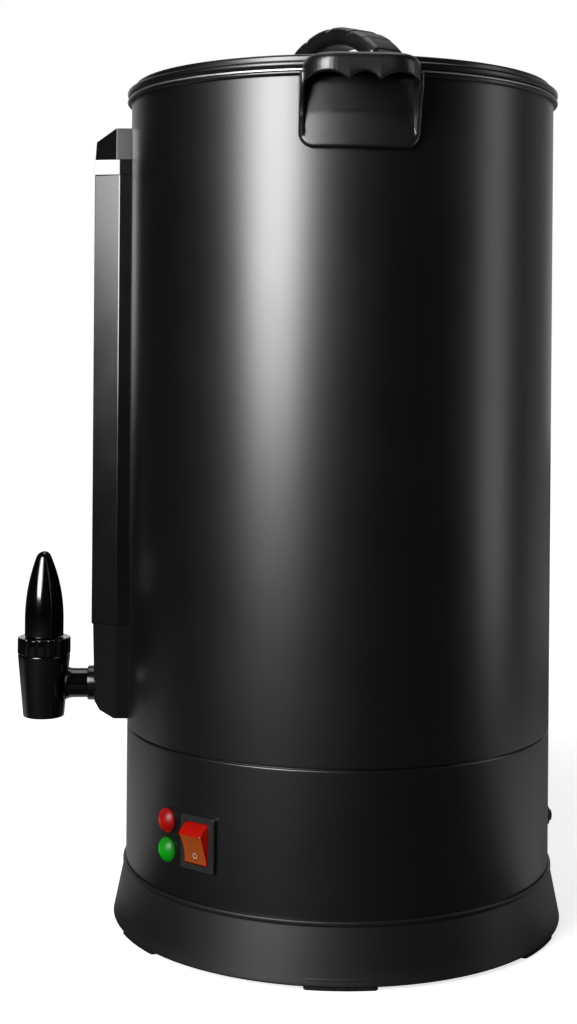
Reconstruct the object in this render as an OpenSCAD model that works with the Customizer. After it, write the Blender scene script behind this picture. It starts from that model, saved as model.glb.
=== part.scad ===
// Mulled wine urn: a painted drum round a stainless tank, standing on a plinth that holds the heater.
// Lengths are millimetres and +Z is up. The origin is on the drum's axis, at the floor.
// The tap points along -Y and the two carry handles stand at +X and -X.

/* [Drum and tank] */
// Outside diameter of the drum and of the plinth below it
body_d = 300; // [280:1:330]
// Height of the seam between plinth and drum above the floor
seam_z = 136; // [130:1:146]
// Height of the drum from the seam to the underside of its rim bead
drum_h = 437; // [380:1:520]
// Thickness of the painted outer sheet
sheet = 1.2; // [0.8:0.1:1.6]
// Thickness of the stainless tank sheet
tank_sheet = 1; // [0.6:0.1:1.4]
// Air gap between drum and tank
wall_gap = 7.8; // [6.5:0.1:10]
// Height of the tank's floor above the seam
tank_rise = 6; // [5:0.5:8]
// Radius of the tank's drawn bottom corner
tank_corner = 8; // [4:0.5:10]
// Height of the rolled bead round the rim
bead_h = 3.2; // [2.6:0.1:4.4]
// How far the rim bead and the lid's edge stand out from the drum
bead_out = 3.1; // [2.6:0.1:4]
// Width of the fine groove at the seam
seam_gap = 0.8; // [0.4:0.1:1.4]
// Height of the tongue that joins plinth and drum
tongue_h = 8; // [5:0.5:12]

/* [Base] */
// How far the skirt's foot stands out from the drum
skirt_flare = 8.6; // [7:0.1:25]
// Height of the skirt's lip above the floor
skirt_top = 41.5; // [38:0.5:46]
// Height of the lip bead
lip_h = 3.2; // [2.4:0.1:4]
// How far the lip stands out from the plinth
lip_out = 2; // [1.8:0.1:3]
// Thickness of the moulded skirt
skirt_wall = 3; // [2.2:0.1:4]
// Height of the ledge that carries the plinth
ledge_z = 37; // [34:0.5:37]
// Width of that ledge
ledge_w = 15; // [13:0.5:20]
// Number of feet
foot_count = 6; // [4:1:8]
// Height of the feet below the skirt's edge
foot_h = 2.5; // [2:0.1:4]
// Angle that each foot takes round the skirt
foot_span = 17.4; // [12:0.2:22]
// Turn of the feet from the right handle
foot_turn = -3; // [-10:0.5:10]
// Height of the bottom plate's underside above the floor
plate_z = 7.8; // [6.8:0.1:10]
// Number of vent slots in the bottom plate
slot_count = 16; // [8:1:24]

/* [Lid] */
// Rise of the dome above its own edge
dome_rise = 9; // [5:0.5:16]
// Height of the bead round the lid's edge
lid_bead_h = 5.2; // [4.4:0.1:5.6]
// Height of the dome's upright edge above the bead's top
dome_step = 4; // [2:0.5:8]
// Thickness of the lid sheet
lid_sheet = 1.2; // [0.8:0.1:1.6]
// Depth of the locating skirt under the lid
lid_skirt = 14; // [8:0.5:22]
// Gap between the locating skirt and the tank
lid_fit = 1; // [0.6:0.1:2]
// Gap between the lid and the rim it rests on
rest_gap = 0.3; // [0.2:0.05:0.5]

/* [Lid handle] */
// Height of the grip's top above the dome
grip_h = 34.5; // [30:0.5:44]
// Outer radius of the arched grip
grip_r = 73.5; // [66:0.5:90]
// Width of the grip
grip_w = 30; // [24:0.5:36]
// Thickness of the grip
grip_t = 13; // [10:0.5:16]
// Edge radius of the grip
grip_edge = 5.5; // [4:0.1:6]
// Distance between the finger grooves
groove_pitch = 26; // [22:0.5:30]
// Depth of the finger grooves
groove_depth = 1.2; // [0.6:0.1:2]
// Turn of the grip from the right handle
grip_turn = 35; // [0:1:90]
// Distance of each foot of the grip from its middle
grip_foot = 45; // [42:0.5:48]

/* [Carry handles] */
// Width of the hood
hood_w = 73.5; // [66:0.5:84]
// How far the hood stands out from the drum
hood_out = 36; // [30:0.5:42]
// Height of the hood
hood_h = 17.5; // [16:0.5:24]
// Wall of the hood
hood_wall = 3.4; // [2.6:0.1:4.4]
// Corner radius of the hood seen from above
hood_corner = 14; // [9:0.5:18]
// Edge radius along the hood's top
hood_edge = 5; // [3:0.25:7]
// Edge radius along the hood's two sides
hood_round = 7.5; // [4:0.25:9]
// Width of the middle finger scallop in the hood's edge
scallop_mid = 19; // [14:0.5:28]
// Height of the finger scallops
scallop_h = 5; // [3:0.25:7]
// Width of the back plate
plate_w = 77; // [74:0.5:86]
// Height of the back plate
plate_h = 55; // [48:0.5:64]
// Thickness of the back plate
plate_t = 4; // [3.4:0.1:5.4]
// Corner radius of the back plate
plate_corner = 10; // [6:0.5:14]
// Height of the hood's top above the drum's rim bead
hood_rise = 5.8; // [2:0.1:8]
// Distance between a handle's two screws
handle_screw_pitch = 48; // [40:1:52]

/* [Sight gauge] */
// Half width of the gauge at the drum
gauge_half = 20; // [18:0.25:24]
// Half width of the gauge's front face
gauge_front_half = 10.5; // [9.5:0.25:13]
// How far the gauge stands out from the drum
gauge_out = 25.3; // [24:0.1:30]
// Depth of the gauge's straight sides
gauge_side = 7.5; // [5:0.25:10]
// Distance from the rim to the top of the gauge
gauge_drop = 18; // [14:0.2:26]
// Height of the top cap
cap_h = 32.7; // [30:0.1:40]
// Height of the bottom block
block_h = 66; // [62:0.2:76]
// How far the bottom block's faces lie inside those of the tube guard
block_inset = 1.2; // [0.4:0.1:2.5]
// Gap between the seam and the bottom block
block_lift = 4; // [3:0.5:8]
// Wall of the tube guard
guard_wall = 2.2; // [1.6:0.1:2.8]
// Width of the viewing slot in the guard
window_w = 8; // [6:0.25:10]
// Outside diameter of the glass tube
tube_d = 12; // [10:0.5:13]
// Wall of the glass tube
tube_wall = 1.4; // [1:0.1:1.8]
// Distance of the tube's axis from the drum
tube_out = 13; // [12.5:0.1:14]
// Depth of the tube's seals
seal_h = 12; // [10:0.5:13]
// Thickness of the tube's seals
seal_t = 1.9; // [1.5:0.1:2.2]

/* [Tap] */
// Distance of the tap's axis from the drum
tap_reach = 59.5; // [57:0.5:68]
// Height of the tap's shank above the seam
tap_rise = 26; // [25:0.5:30]
// Radius of the shank
shank_r = 10.35; // [9.5:0.05:11]
// Radius of the bore in the shank
shank_bore = 6; // [5:0.1:7]
// Radius of the tap body at its outlet
tap_low_r = 14.4; // [13.4:0.1:15.4]
// Radius of the tap body under the bonnet
tap_top_r = 18.6; // [18:0.1:20]
// Depth of the tap body below the shank's axis
tap_low = 23.5; // [21:0.5:26]
// Height of the tap body above the shank's axis
tap_high = 21; // [19:0.5:24]
// Radius of the outlet
outlet_r = 6.5; // [5.5:0.1:7.5]
// Height of the fluted bonnet
bonnet_h = 11.8; // [10.6:0.2:16]
// Radius of the bonnet
bonnet_r = 18.7; // [18.4:0.1:20]
// Number of flutes round the bonnet
flute_count = 16; // [12:1:24]
// Radius of the lever at its foot
lever_r = 13.8; // [13:0.1:15]
// Height of the lever
lever_h = 60.5; // [56:0.5:72]
// Height of the lever's straight foot
lever_foot = 12.2; // [8:0.2:16]
// Radius of the lever's long curve from foot to nose
lever_sweep = 130; // [120:1:180]
// Depth of the two flats on the back of the lever
lever_flat = 1.9; // [1.2:0.1:2.6]
// Depth of the lift pin below the lever's foot
pin_drop = 10.8; // [10:0.1:11.4]
// Radius of the lift pin
pin_r = 1.5; // [1.2:0.05:1.8]
// Greatest tilt of the lever
lever_tilt = 25; // [15:1:26]

/* [Switch and lamps] */
// Angle of the switch round the plinth from the right handle
switch_a = -40.4; // [-44:0.2:-36]
// Height of the switch above the floor
switch_z = 80.5; // [74:0.5:88]
// Width of the switch's flange
bezel_w = 28; // [26:0.25:31]
// Height of the switch's flange
bezel_h = 35; // [33:0.25:40]
// Thickness of that flange
bezel_t = 2.6; // [2:0.1:3.4]
// Width of the switch's cut-out
switch_w = 22; // [21.4:0.1:23]
// Height of the switch's cut-out
switch_h = 30; // [29.6:0.1:31.5]
// Depth of the switch's body
switch_depth = 24; // [20:0.5:28]
// Width of the rocker
rocker_w = 18.6; // [17.6:0.1:18.8]
// Radius of the rocker's ends about its pivot
rocker_r = 13.4; // [12.6:0.1:13.5]
// Depth of the rocker's pivot behind the plinth's face
pivot_in = 1.2; // [0.8:0.1:3]
// Angle from the rocker's middle to each end
rocker_half = 49; // [44:0.5:56]
// Tilt of the rocker to either side
rocker_tilt = 18; // [9:0.5:19]
// Angle of the lamps round the plinth from the right handle
lamp_a = -51.8; // [-58:0.2:-51]
// Diameter of a lamp's lens
lamp_d = 16; // [14:0.25:17]
// Height of the lens dome
lamp_dome = 5.6; // [4:0.1:7]
// Height of the red lamp above the floor
red_z = 89.6; // [88:0.2:96]
// Height of the green lamp above the floor
green_z = 70.4; // [62:0.2:72]

/* [Reset button and cord gland] */
// Height of the reset button above the floor
reset_z = 66.5; // [60:0.5:76]
// Outside diameter of the button's collar
reset_d = 14; // [13:0.2:18]
// How far the button stands out from the plinth
reset_out = 5.8; // [5:0.1:7]
// Travel of the button
reset_travel = 2; // [1:0.1:2.4]
// Angle of the cord gland round the plinth from the right handle
gland_a = 126; // [118:1:150]
// Height of the cord gland above the floor
gland_z = 64; // [58:0.5:76]
// Diameter of the cord that the gland takes
cord_d = 8; // [6:0.25:9]

/* [Heater] */
// Radius of the heat spreader under the tank
spreader_r = 96; // [86:1:110]
// Thickness of the heat spreader
spreader_t = 6; // [5:0.25:8]
// Radius of the ring that the element makes
element_ring = 70; // [64:1:78]
// Radius of the element's sheath
element_r = 4; // [3.5:0.1:4.6]

/* [Hidden] */
$fn = 72;
// Facets drawn round a curve as wide as the drum, and round one far wider
drum_fn = 240;
dome_fn = 720;

// Angles of the tap, the rear and the two handles round the drum
tap_a = -90;
rear_a = 90;
right_a = 0;
left_a = 180;

// Clearances, and the broken edge of a moulded piece
fit = 0.15;        // between pieces that are fixed to each other
bore_fit = 0.05;   // between a pin or shank and its hole
swing = 0.3;       // between bodies that move past each other
bite = 1;          // how far a cut runs past the face it opens
edge = 0.8;

// Drum, tank and rim
body_r = body_d / 2;
rim_z = seam_z + drum_h;
rim_top = rim_z + bead_h;
bead_at = body_r + bead_out - bead_h / 2;
tank_r = body_r - sheet - wall_gap;
tank_in = tank_r - tank_sheet;
tank_floor = seam_z + tank_rise;
tank_top = rim_top + tank_sheet;
tongue_r = body_r - sheet - fit;
plinth_top = seam_z - seam_gap / 2;
drum_foot = seam_z + seam_gap / 2;
sheet_cut = 4 * sheet;
tank_cut = 4 * tank_sheet;

// Screws
screw_r = 1.75;
head_r = 3.4;
head_h = 2.2;
screw_len = 10;
cross_len = 3.8;
cross_w = 0.9;
cross_deep = 1.2;

// Skirt and bottom plate
skirt_r = body_r + skirt_flare;
lip_r = body_r + lip_out;
lip_root = lip_r - edge;
lip_z = skirt_top - lip_h;
ledge_t = 3;
ledge_low = ledge_z - ledge_t;
ledge_r = body_r - ledge_w;
plate_sheet = 1.2;
plate_top = plate_z + plate_sheet;
plate_r = skirt_r - skirt_wall - 3;
plate_cut = plate_sheet + 2 * bite;
foot_in = skirt_r - 12.5;
foot_r = skirt_r - edge;
boss_r = 4.5;
boss_at = body_r - 8.5;
slot_in = 55;
slot_out = 85;
slot_r = 2;

// Lid and its handle
lid_z = tank_top + rest_gap;
lid_r = body_r + bead_out;
lid_bead_at = lid_r - lid_bead_h / 2;
dome_r = lid_r - lid_bead_h;
dome_edge = lid_z + lid_bead_h + dome_step;
dome_top = dome_edge + dome_rise;
dome_curve = (dome_r * dome_r + dome_rise * dome_rise) / (2 * dome_rise);
lid_skirt_r = tank_in - lid_fit;
lid_skirt_in = lid_skirt_r - lid_sheet;
grip_axis = dome_top + grip_h - grip_r;
grip_sweep = 46;
grip_foot_r = 10;
groove_r = 5;
lid_screw_in = 7;
lid_screw_z = dome_top - lid_sheet - pow(grip_foot + head_r, 2) / (2 * dome_curve) - fit;

// Carry handles
handle_top = rim_top + hood_rise;
handle_clear = bead_out + 0.5;
plate_head = max(hood_edge, handle_top - rim_z + fit);
hood_crown = 0.6;
hood_roof = hood_wall + 1;
scallop_side = (hood_w - scallop_mid) / 2;
cheek_t = 2.6;
cheek_rib = 4;
cheek_low = plate_corner - plate_h;
handle_screw_drop = 28;
handle_screw_z = handle_top - handle_screw_drop;
handle_screw_x = sqrt(pow(body_r - sheet, 2) - pow(handle_screw_pitch / 2 + head_r, 2)) - fit;
handle_screw_end = plate_t - 1.2;

// Sight gauge
gauge_low = seam_z + block_lift;
gauge_back = body_r - gauge_side;
gauge_nose = body_r + gauge_out;
gauge_draft = 1.6;
block_draft = 1;
block_nose = gauge_nose - block_inset;
block_top = gauge_low + block_h;
block_toe = 21.7;
block_crease = gauge_low + block_toe;
toe_low = 5;
toe_high = 11;
cap_top = rim_z - gauge_drop;
cap_low = cap_top - cap_h;
cap_collar = 13.5;
cap_crease = cap_low + cap_collar;
cap_chamfer = 9;
window_end = 14;
tube_r = tube_d / 2;
tube_bore = tube_r - tube_wall;
tube_at = body_r + tube_out;
socket_r = tube_r + seal_t + bore_fit;
stud_r = 4;
stud_bore = 1.8;
stud_z = cap_low + cap_h / 2;
stud_nut_af = 13;
nut_t = 6;
gasket_t = 2;

// Tap, measured from the crossing of its shank and its own axis
tap_z = seam_z + tap_rise;
tap_at = body_r + tap_reach;
collar_r = 13;
flare_out = 2.4;
flare_len = 6;
neck_r = bonnet_r - 4;
neck_top = tap_high + bonnet_h - 4.2;
chamber_r = neck_r - 3.1;
seat_z = -7;
seat_lip = 1.5;
seat_top = seat_z + seat_lip;
outlet_floor = seat_z - 5;
outlet_rim = tap_low_r - 2.6;
bonnet_top = tap_high + bonnet_h;
bonnet_hole = chamber_r - 1.9;
bonnet_edge = 0.6;
flute_r = 1.5;
tap_nut_af = 30;
tap_nut_t = 9;

// Lever, stem and the pin between them
lever_z = bonnet_top + swing;
lever_belt = lever_z + lever_foot;
lever_tip = lever_z + lever_h;
nose_gap = lever_tip - lever_belt;
sweep_in = lever_sweep - lever_r;
nose_r = (lever_sweep * lever_sweep - sweep_in * sweep_in - nose_gap * nose_gap)
    / (2 * (lever_sweep - nose_gap));
nose_join = nose_gap - nose_r + nose_r * (nose_gap - nose_r) / (lever_sweep - nose_r);
nose_a = asin((nose_gap - nose_r) / (lever_sweep - nose_r));
sweep_steps = 12;
nose_steps = 5;
flat_steps = 5;
flat_turn = 30.5;
pin_z = lever_z - pin_drop;
pin_run = lever_r - (lever_r * cos(lever_tilt) - (pin_drop - lever_r * sin(lever_tilt))
    * tan(lever_tilt));
pin_slot = pin_r + 0.3;
fork_in = 1.9;
fork_out = 4.2;
fork_wall = 1.6;
fork_low = pin_z - pin_r - fork_wall;
fork_back = pin_r + 2.2;
eye_half = fork_in - swing;
eye_wall = 1.9;
stem_r = 2.6;
stem_low = seat_top + 2;
cup_r = outlet_r + seat_lip + 1;
cup_side = 4;
cup_h = 11;

// Flat seats inside the round tank wall, for the tap's and the gauge's nuts
tap_seat = sqrt(tank_in * tank_in - collar_r * collar_r) - fit;
stud_seat = sqrt(tank_in * tank_in - pow(2 * stud_r, 2)) - fit;
shank_end = tap_seat - gasket_t - tap_nut_t - 4;

// Switch, lamps, reset button and gland, measured from the plinth's face
nut_face = -sheet - 0.8;
bezel_corner = 1.5;
switch_corner = 1;
rocker_gap = 0.3;
rocker_back = 3;
rocker_hollow = 60;
rocker_dip = 1.8;
trunnion_r = 1.5;
trunnion_len = 1;
blade_w = 6.3;
blade_t = 0.8;
blade_len = 10;
blade_y = 5;
blade_z = 8;
lamp_flange = 1.4;
lamp_stem = 4.9;
lamp_len = 16;
lamp_nut_af = 14;
lamp_nut_t = 4;
reset_h = 3.2;
reset_edge = 1.2;
button_r = 4;
button_in = 5;
button_ball = 5;
button_rim = 1.3;
button_rim_t = 1.5;
bush_r = 5;
bush_end = 2.2;
cutout_w = 24;
cutout_h = 30;
cutout_depth = 28;
gland_r = 10;
gland_stem = 7.9;
gland_len = 14;
gland_flange = 1.5;
gland_flange_t = 5;
gland_step = 10;
gland_mouth = 6.6;
gland_grip = 13;
gland_hollow = 5.2;
gland_nut_af = 22;
gland_nut_t = 5;

// Heater and what is fixed beside it
spreader_z = tank_floor - tank_sheet - spreader_t;
element_z = spreader_z - 0.5;
element_open = 30;
post_r = element_r + 0.6;
post_h = 24;
post_pin_r = 1.5;
post_pin_h = 8;
tie_r = 3;
tie_end = 10;
clamp_t = 2.5;
clamp_z = element_z - element_r - swing - clamp_t;
clamp_hub = 17;
clamp_w = 20;
clamp_arms = 3;
clamp_nut_af = 10;
clamp_nut_t = 5;
element_turn = 180 / clamp_arms;
stat_r = 9.5;
stat_h = 10;
stat_at = 42;
strip_in = 44;
strip_at = body_r - strip_in;
strip_w = 48;
strip_t = 18;
strip_h = 16;
strip_pitch = 14;
strip_hole_z = 6;
strip_hole_r = 3;

black_paint = [0.05, 0.05, 0.055];
black_plastic = [0.09, 0.09, 0.095];
gloss_black = [0.03, 0.03, 0.03];
steel = [0.72, 0.73, 0.75];
silicone = [0.85, 0.83, 0.8];
pale_plastic = [0.9, 0.88, 0.82];

// Places its children on the drum's side: +X there points straight out
module place(angle, reach, height) {
    rotate([0, 0, angle]) translate([reach, 0, height]) children();
}

// A rod along +X from x0 to x1
module rod(r, x0, x1) {
    translate([x0, 0, 0]) rotate([0, 90, 0]) cylinder(r = r, h = x1 - x0);
}

// A turned piece whose axis lies along +X
module turned() {
    rotate([0, 90, 0]) rotate_extrude() children();
}

// A hexagonal nut along +X, with its bore and with flats above and below
module hex_nut(across, bore, x0, x1) {
    difference() {
        translate([x0, 0, 0]) rotate([0, 90, 0]) rotate(30)
            cylinder(r = across / 2 / cos(30), h = x1 - x0, $fn = 6);
        rod(bore, x0 - bite, x1 + bite);
    }
}

// A washer along +X
module washer(outer, inner, x0, x1) {
    difference() {
        rod(outer, x0, x1);
        rod(inner, x0 - bite, x1 + bite);
    }
}

// A pan-head screw with a cross recess: head below z = 0, shank above it
module screw(length) difference() {
    union() {
        cylinder(r = screw_r, h = length);
        translate([0, 0, -head_h]) cylinder(r = head_r, h = head_h);
    }
    for (a = [0, 90]) rotate([0, 0, a]) translate([-cross_len / 2, -cross_w / 2, -head_h - bite])
        cube([cross_len, cross_w, cross_deep + bite]);
}

// An upright prism from an outline in the (x, z) plane, as wide as w across Y
module across_y(w) {
    translate([0, w / 2, 0]) rotate([90, 0, 0]) linear_extrude(w) children();
}

// An outline in the (y, z) plane carried along X from x0 to x1
module along_x(x0, x1) {
    translate([x0, 0, 0]) rotate([90, 0, 90]) linear_extrude(x1 - x0) children();
}

// A pin along Y, centred on the origin
module pin_y(r, length) {
    rotate([90, 0, 0]) cylinder(r = r, h = length, center = true);
}

// A rectangle in the plane with all four corners rounded
module rounded(w, h, r) {
    square([w - 2 * r, h], center = true);
    square([w, h - 2 * r], center = true);
    for (x = [-1, 1], y = [-1, 1])
        translate([x * (w / 2 - r), y * (h / 2 - r)]) circle(r);
}

// The solid that the tank's wall is drawn over: a cup with a rounded bottom corner
module cup_section(r, z0, z1, corner) {
    translate([0, z0 + corner]) square([r, z1 - z0 - corner]);
    translate([0, z0]) square([r - corner, z1 - z0]);
    translate([r - corner, z0 + corner]) circle(corner);
}

// Angles of the bottom plate's screws, between the feet, and of the plinth's, above the feet
function boss_angle(i) = foot_turn + (i + 0.5) * 360 / foot_count;
function tie_angle(i) = foot_turn + i * 360 / foot_count;

module base_skirt() color(black_plastic) difference() {
    union() {
        rotate_extrude() polygon([
            [skirt_r, foot_h], [lip_root, lip_z], [lip_r, lip_z], [lip_r, skirt_top - edge],
            [lip_r - edge, skirt_top], [body_r + fit, skirt_top], [body_r + fit, ledge_z],
            [ledge_r, ledge_z], [ledge_r, ledge_low], [lip_root - skirt_wall, ledge_low],
            [skirt_r - skirt_wall, foot_h]
        ]);
        for (i = [0 : foot_count - 1])
            rotate([0, 0, tie_angle(i) - foot_span / 2]) rotate_extrude(angle = foot_span) polygon([
                [foot_in, 0], [foot_r - edge, 0], [foot_r, edge], [foot_r, foot_h + edge],
                [skirt_r - skirt_wall / 2, plate_z], [foot_in, plate_z]
            ]);
        for (i = [0 : foot_count - 1])
            place(boss_angle(i), boss_at, plate_top)
                cylinder(r = boss_r, h = ledge_z - ledge_t / 2 - plate_top);
    }
    for (i = [0 : foot_count - 1]) {
        place(boss_angle(i), boss_at, plate_top - bite)
            cylinder(r = screw_r + bore_fit, h = screw_len + bite);
        place(tie_angle(i), boss_at, ledge_low - bite)
            cylinder(r = screw_r + bore_fit, h = ledge_t + 2 * bite);
    }
}

module base_plate() color(steel) difference() {
    translate([0, 0, plate_z]) cylinder(r = plate_r, h = plate_sheet);
    for (i = [0 : foot_count - 1])
        place(boss_angle(i), boss_at, plate_z - bite) cylinder(r = screw_r + fit, h = plate_cut);
    for (i = [0 : slot_count - 1])
        rotate([0, 0, i * 360 / slot_count]) translate([0, 0, plate_z - bite]) {
            translate([slot_in, -slot_r, 0]) cube([slot_out - slot_in, 2 * slot_r, plate_cut]);
            for (x = [slot_in, slot_out]) translate([x, 0, 0]) cylinder(r = slot_r, h = plate_cut);
        }
}

module base_screws() color(steel) for (i = [0 : foot_count - 1])
    place(boss_angle(i), boss_at, plate_z) screw(screw_len);

module plinth_shell() color(black_paint) difference() {
    rotate_extrude() polygon([
        [ledge_r, ledge_z], [body_r, ledge_z], [body_r, plinth_top], [tongue_r, plinth_top],
        [tongue_r, seam_z + tongue_h], [tongue_r - sheet, seam_z + tongue_h],
        [tongue_r - sheet, plinth_top - sheet], [body_r - sheet, plinth_top - sheet],
        [body_r - sheet, ledge_z + sheet], [ledge_r, ledge_z + sheet]
    ]);
    at_switch() translate([-body_r / 4, -switch_w / 2, -switch_h / 2])
        cube([body_r / 2, switch_w, switch_h]);
    for (z = [red_z, green_z])
        place(lamp_a, body_r, z) rod(lamp_stem + fit, -sheet_cut, sheet_cut);
    place(rear_a, body_r, reset_z) rod(bush_r + fit, -sheet_cut, sheet_cut);
    place(gland_a, body_r, gland_z) rod(gland_stem + fit, -sheet_cut, sheet_cut);
    for (i = [0 : foot_count - 1])
        place(tie_angle(i), boss_at, ledge_z - bite) cylinder(r = screw_r + fit, h = sheet + 2 * bite);
}

module plinth_screws() color(steel) for (i = [0 : foot_count - 1])
    place(tie_angle(i), boss_at, ledge_z + sheet) mirror([0, 0, 1]) screw(sheet + ledge_t);

module drum_shell() color(black_paint) difference() {
    rotate_extrude() {
        translate([body_r - sheet, drum_foot]) square([sheet, rim_top - drum_foot]);
        translate([body_r - sheet, rim_z]) square([bead_at - body_r + sheet, bead_h]);
        translate([bead_at, rim_z + bead_h / 2]) circle(bead_h / 2);
    }
    place(tap_a, body_r, tap_z) rod(shank_r + fit, -sheet_cut, sheet_cut);
    place(tap_a, body_r, stud_z) rod(stud_r + fit, -sheet_cut, sheet_cut);
    for (a = [right_a, left_a], y = [-1, 1])
        place(a, body_r, handle_screw_z) translate([0, y * handle_screw_pitch / 2, 0])
            rod(screw_r + fit, -3 * head_r, 3 * head_r);
}

// The drawn tank: a cup with a level rim, and a tie stud welded under its floor
module inner_tank() color(steel) difference() {
    union() {
        rotate_extrude() {
            difference() {
                cup_section(tank_r, tank_floor - tank_sheet, tank_top, tank_corner + tank_sheet);
                cup_section(tank_in, tank_floor, tank_top + bite, tank_corner);
            }
            translate([tank_in, rim_top]) square([bead_at - tank_in, tank_sheet]);
        }
        translate([0, 0, clamp_z - tie_end])
            cylinder(r = tie_r, h = tank_floor - tank_sheet - clamp_z + tie_end);
    }
    place(tap_a, tank_r, tap_z) rod(shank_r + fit, -tank_cut, tank_cut);
    place(tap_a, tank_r, stud_z) rod(stud_r + fit, -tank_cut, tank_cut);
}

module lid_shell() color(black_paint) difference() {
    rotate_extrude() {
        intersection() {
            difference() {
                translate([0, dome_top - dome_curve]) circle(dome_curve, $fn = dome_fn);
                translate([0, dome_top - dome_curve]) circle(dome_curve - lid_sheet, $fn = dome_fn);
            }
            translate([0, dome_edge - lid_sheet]) square([dome_r, dome_rise + 2 * lid_sheet]);
        }
        translate([dome_r - lid_sheet, lid_z]) square([lid_sheet, dome_edge - lid_z]);
        translate([lid_skirt_in, lid_z]) square([lid_bead_at - lid_skirt_in, lid_sheet]);
        translate([lid_skirt_in, lid_z - lid_skirt]) square([lid_sheet, lid_skirt + lid_sheet]);
        translate([lid_bead_at, lid_z + lid_bead_h / 2]) circle(lid_bead_h / 2);
        translate([dome_r - lid_sheet, lid_z])
            square([lid_bead_h / 2 + lid_sheet, lid_bead_h / 2 + edge]);
    }
    for (s = [-1, 1]) place(grip_turn, s * grip_foot, dome_edge)
        cylinder(r = screw_r + fit, h = dome_rise + bite);
}

// The arched grip: a rounded bar swept round a level axis, with grooves between the fingers
module lid_handle() color(black_plastic) rotate([0, 0, grip_turn]) difference() {
    union() {
        translate([0, 0, grip_axis]) rotate([90, 0, 0]) rotate([0, 0, 90 - grip_sweep])
            rotate_extrude(angle = 2 * grip_sweep)
                translate([grip_r - grip_t / 2, 0]) rounded(grip_t, grip_w, grip_edge);
        for (s = [-1, 1]) translate([s * grip_foot, 0, dome_edge])
            cylinder(r = grip_foot_r, h = dome_rise + grip_t / 2);
    }
    translate([0, 0, dome_top - dome_curve]) sphere(r = dome_curve + fit, $fn = 360);
    for (i = [-1 : 1]) translate([0, 0, grip_axis]) rotate([0, asin(i * groove_pitch / grip_r), 0])
        translate([0, 0, grip_r - groove_depth + groove_r]) pin_y(groove_r, grip_w + 2 * bite);
    for (s = [-1, 1]) translate([s * grip_foot, 0, dome_edge])
        cylinder(r = screw_r + bore_fit, h = dome_rise + lid_screw_in);
}

module lid_screws() color(steel) for (s = [-1, 1])
    place(grip_turn, s * grip_foot, lid_screw_z) screw(dome_top - lid_screw_z + lid_screw_in - bite);

// The hood from above: square at the drum, with round front corners
module hood_plan(w, out, corner) {
    back = 2 * corner;
    translate([-back, -w / 2]) square([back + out - corner, w]);
    translate([-back, corner - w / 2]) square([back + out, w - 2 * corner]);
    for (y = [-1, 1]) translate([out - corner, y * (w / 2 - corner)]) circle(corner);
}

// The hood before it is hollowed: its plan, rounded over along the top edges
module hood_solid() intersection() {
    translate([0, 0, -hood_h]) linear_extrude(hood_h + bite) hood_plan(hood_w, hood_out, hood_corner);
    across_y(hood_w + bite) translate([0, -hood_h])
        rounded(2 * (hood_out + hood_crown), 2 * hood_h, hood_edge);
    along_x(-hood_out, 2 * hood_out) translate([0, hood_crown - hood_h])
        rounded(hood_w + 2 * hood_crown, 2 * hood_h, hood_round);
}

// The cut that leaves one finger scallop in the hood's edge: a round bar of the radius that its width needs
module scallop_cut(y, w) {
    r = (w * w / 4 + scallop_h * scallop_h) / (2 * scallop_h);
    translate([0, y, scallop_h - hood_h - r]) rod(r, plate_t, hood_out + bite);
}

// A carry handle at +X: a back plate under a hollow hood with finger scallops in its edge
module carry_handle() difference() {
    union() {
        difference() {
            hood_solid();
            translate([0, 0, -hood_h - bite]) linear_extrude(hood_h + bite - hood_roof)
                hood_plan(hood_w - 2 * hood_wall, hood_out - hood_wall, hood_corner - hood_wall);
            scallop_cut(0, scallop_mid);
            for (y = [-1, 1]) scallop_cut(y * (scallop_mid + scallop_side) / 2, scallop_side);
        }
        along_x(-plate_h / 4, plate_t) difference() {
            translate([0, -plate_h / 2]) rounded(plate_w, plate_h, plate_corner);
            translate([-plate_w / 2 - bite, -plate_head]) square([plate_w + 2 * bite, 2 * plate_head]);
        }
        for (y = [-1, 1]) translate([0, y * (plate_w - cheek_t) / 2, 0]) across_y(cheek_t) polygon([
            [0, -hood_edge], [hood_out / 2, -hood_edge], [hood_out / 2, -hood_h],
            [plate_t + cheek_rib, -hood_h - 2 * cheek_rib], [plate_t + cheek_rib / 2, cheek_low + cheek_rib],
            [plate_t / 2, cheek_low], [0, cheek_low]
        ]);
    }
    translate([-body_r, 0, -2 * plate_h]) cylinder(r = body_r + fit, h = 3 * plate_h, $fn = drum_fn);
    translate([-body_r, 0, rim_z - handle_top - fit])
        cylinder(r = body_r + handle_clear, h = plate_h, $fn = drum_fn);
    for (y = [-1, 1]) translate([0, y * handle_screw_pitch / 2, handle_screw_z - handle_top])
        rod(screw_r + bore_fit, -body_r / 4, handle_screw_end);
}

module right_handle() color(black_plastic) place(right_a, body_r, handle_top) carry_handle();

module left_handle() color(black_plastic) place(left_a, body_r, handle_top) carry_handle();

module handle_screws() color(steel) for (a = [right_a, left_a], y = [-1, 1])
    place(a, handle_screw_x, handle_screw_z) translate([0, y * handle_screw_pitch / 2, 0])
        rotate([0, 90, 0]) screw(body_r + handle_screw_end - swing - handle_screw_x);

// The gauge from above: straight sides, two chamfers and a narrow front face
module gauge_plan(inset, back) {
    front = gauge_nose - inset;
    front_half = gauge_front_half - inset / 2;
    half = gauge_half - inset;
    polygon([
        [back, -half], [body_r + gauge_side, -half], [front, -front_half],
        [front, front_half], [body_r + gauge_side, half], [back, half]
    ]);
}

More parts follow.
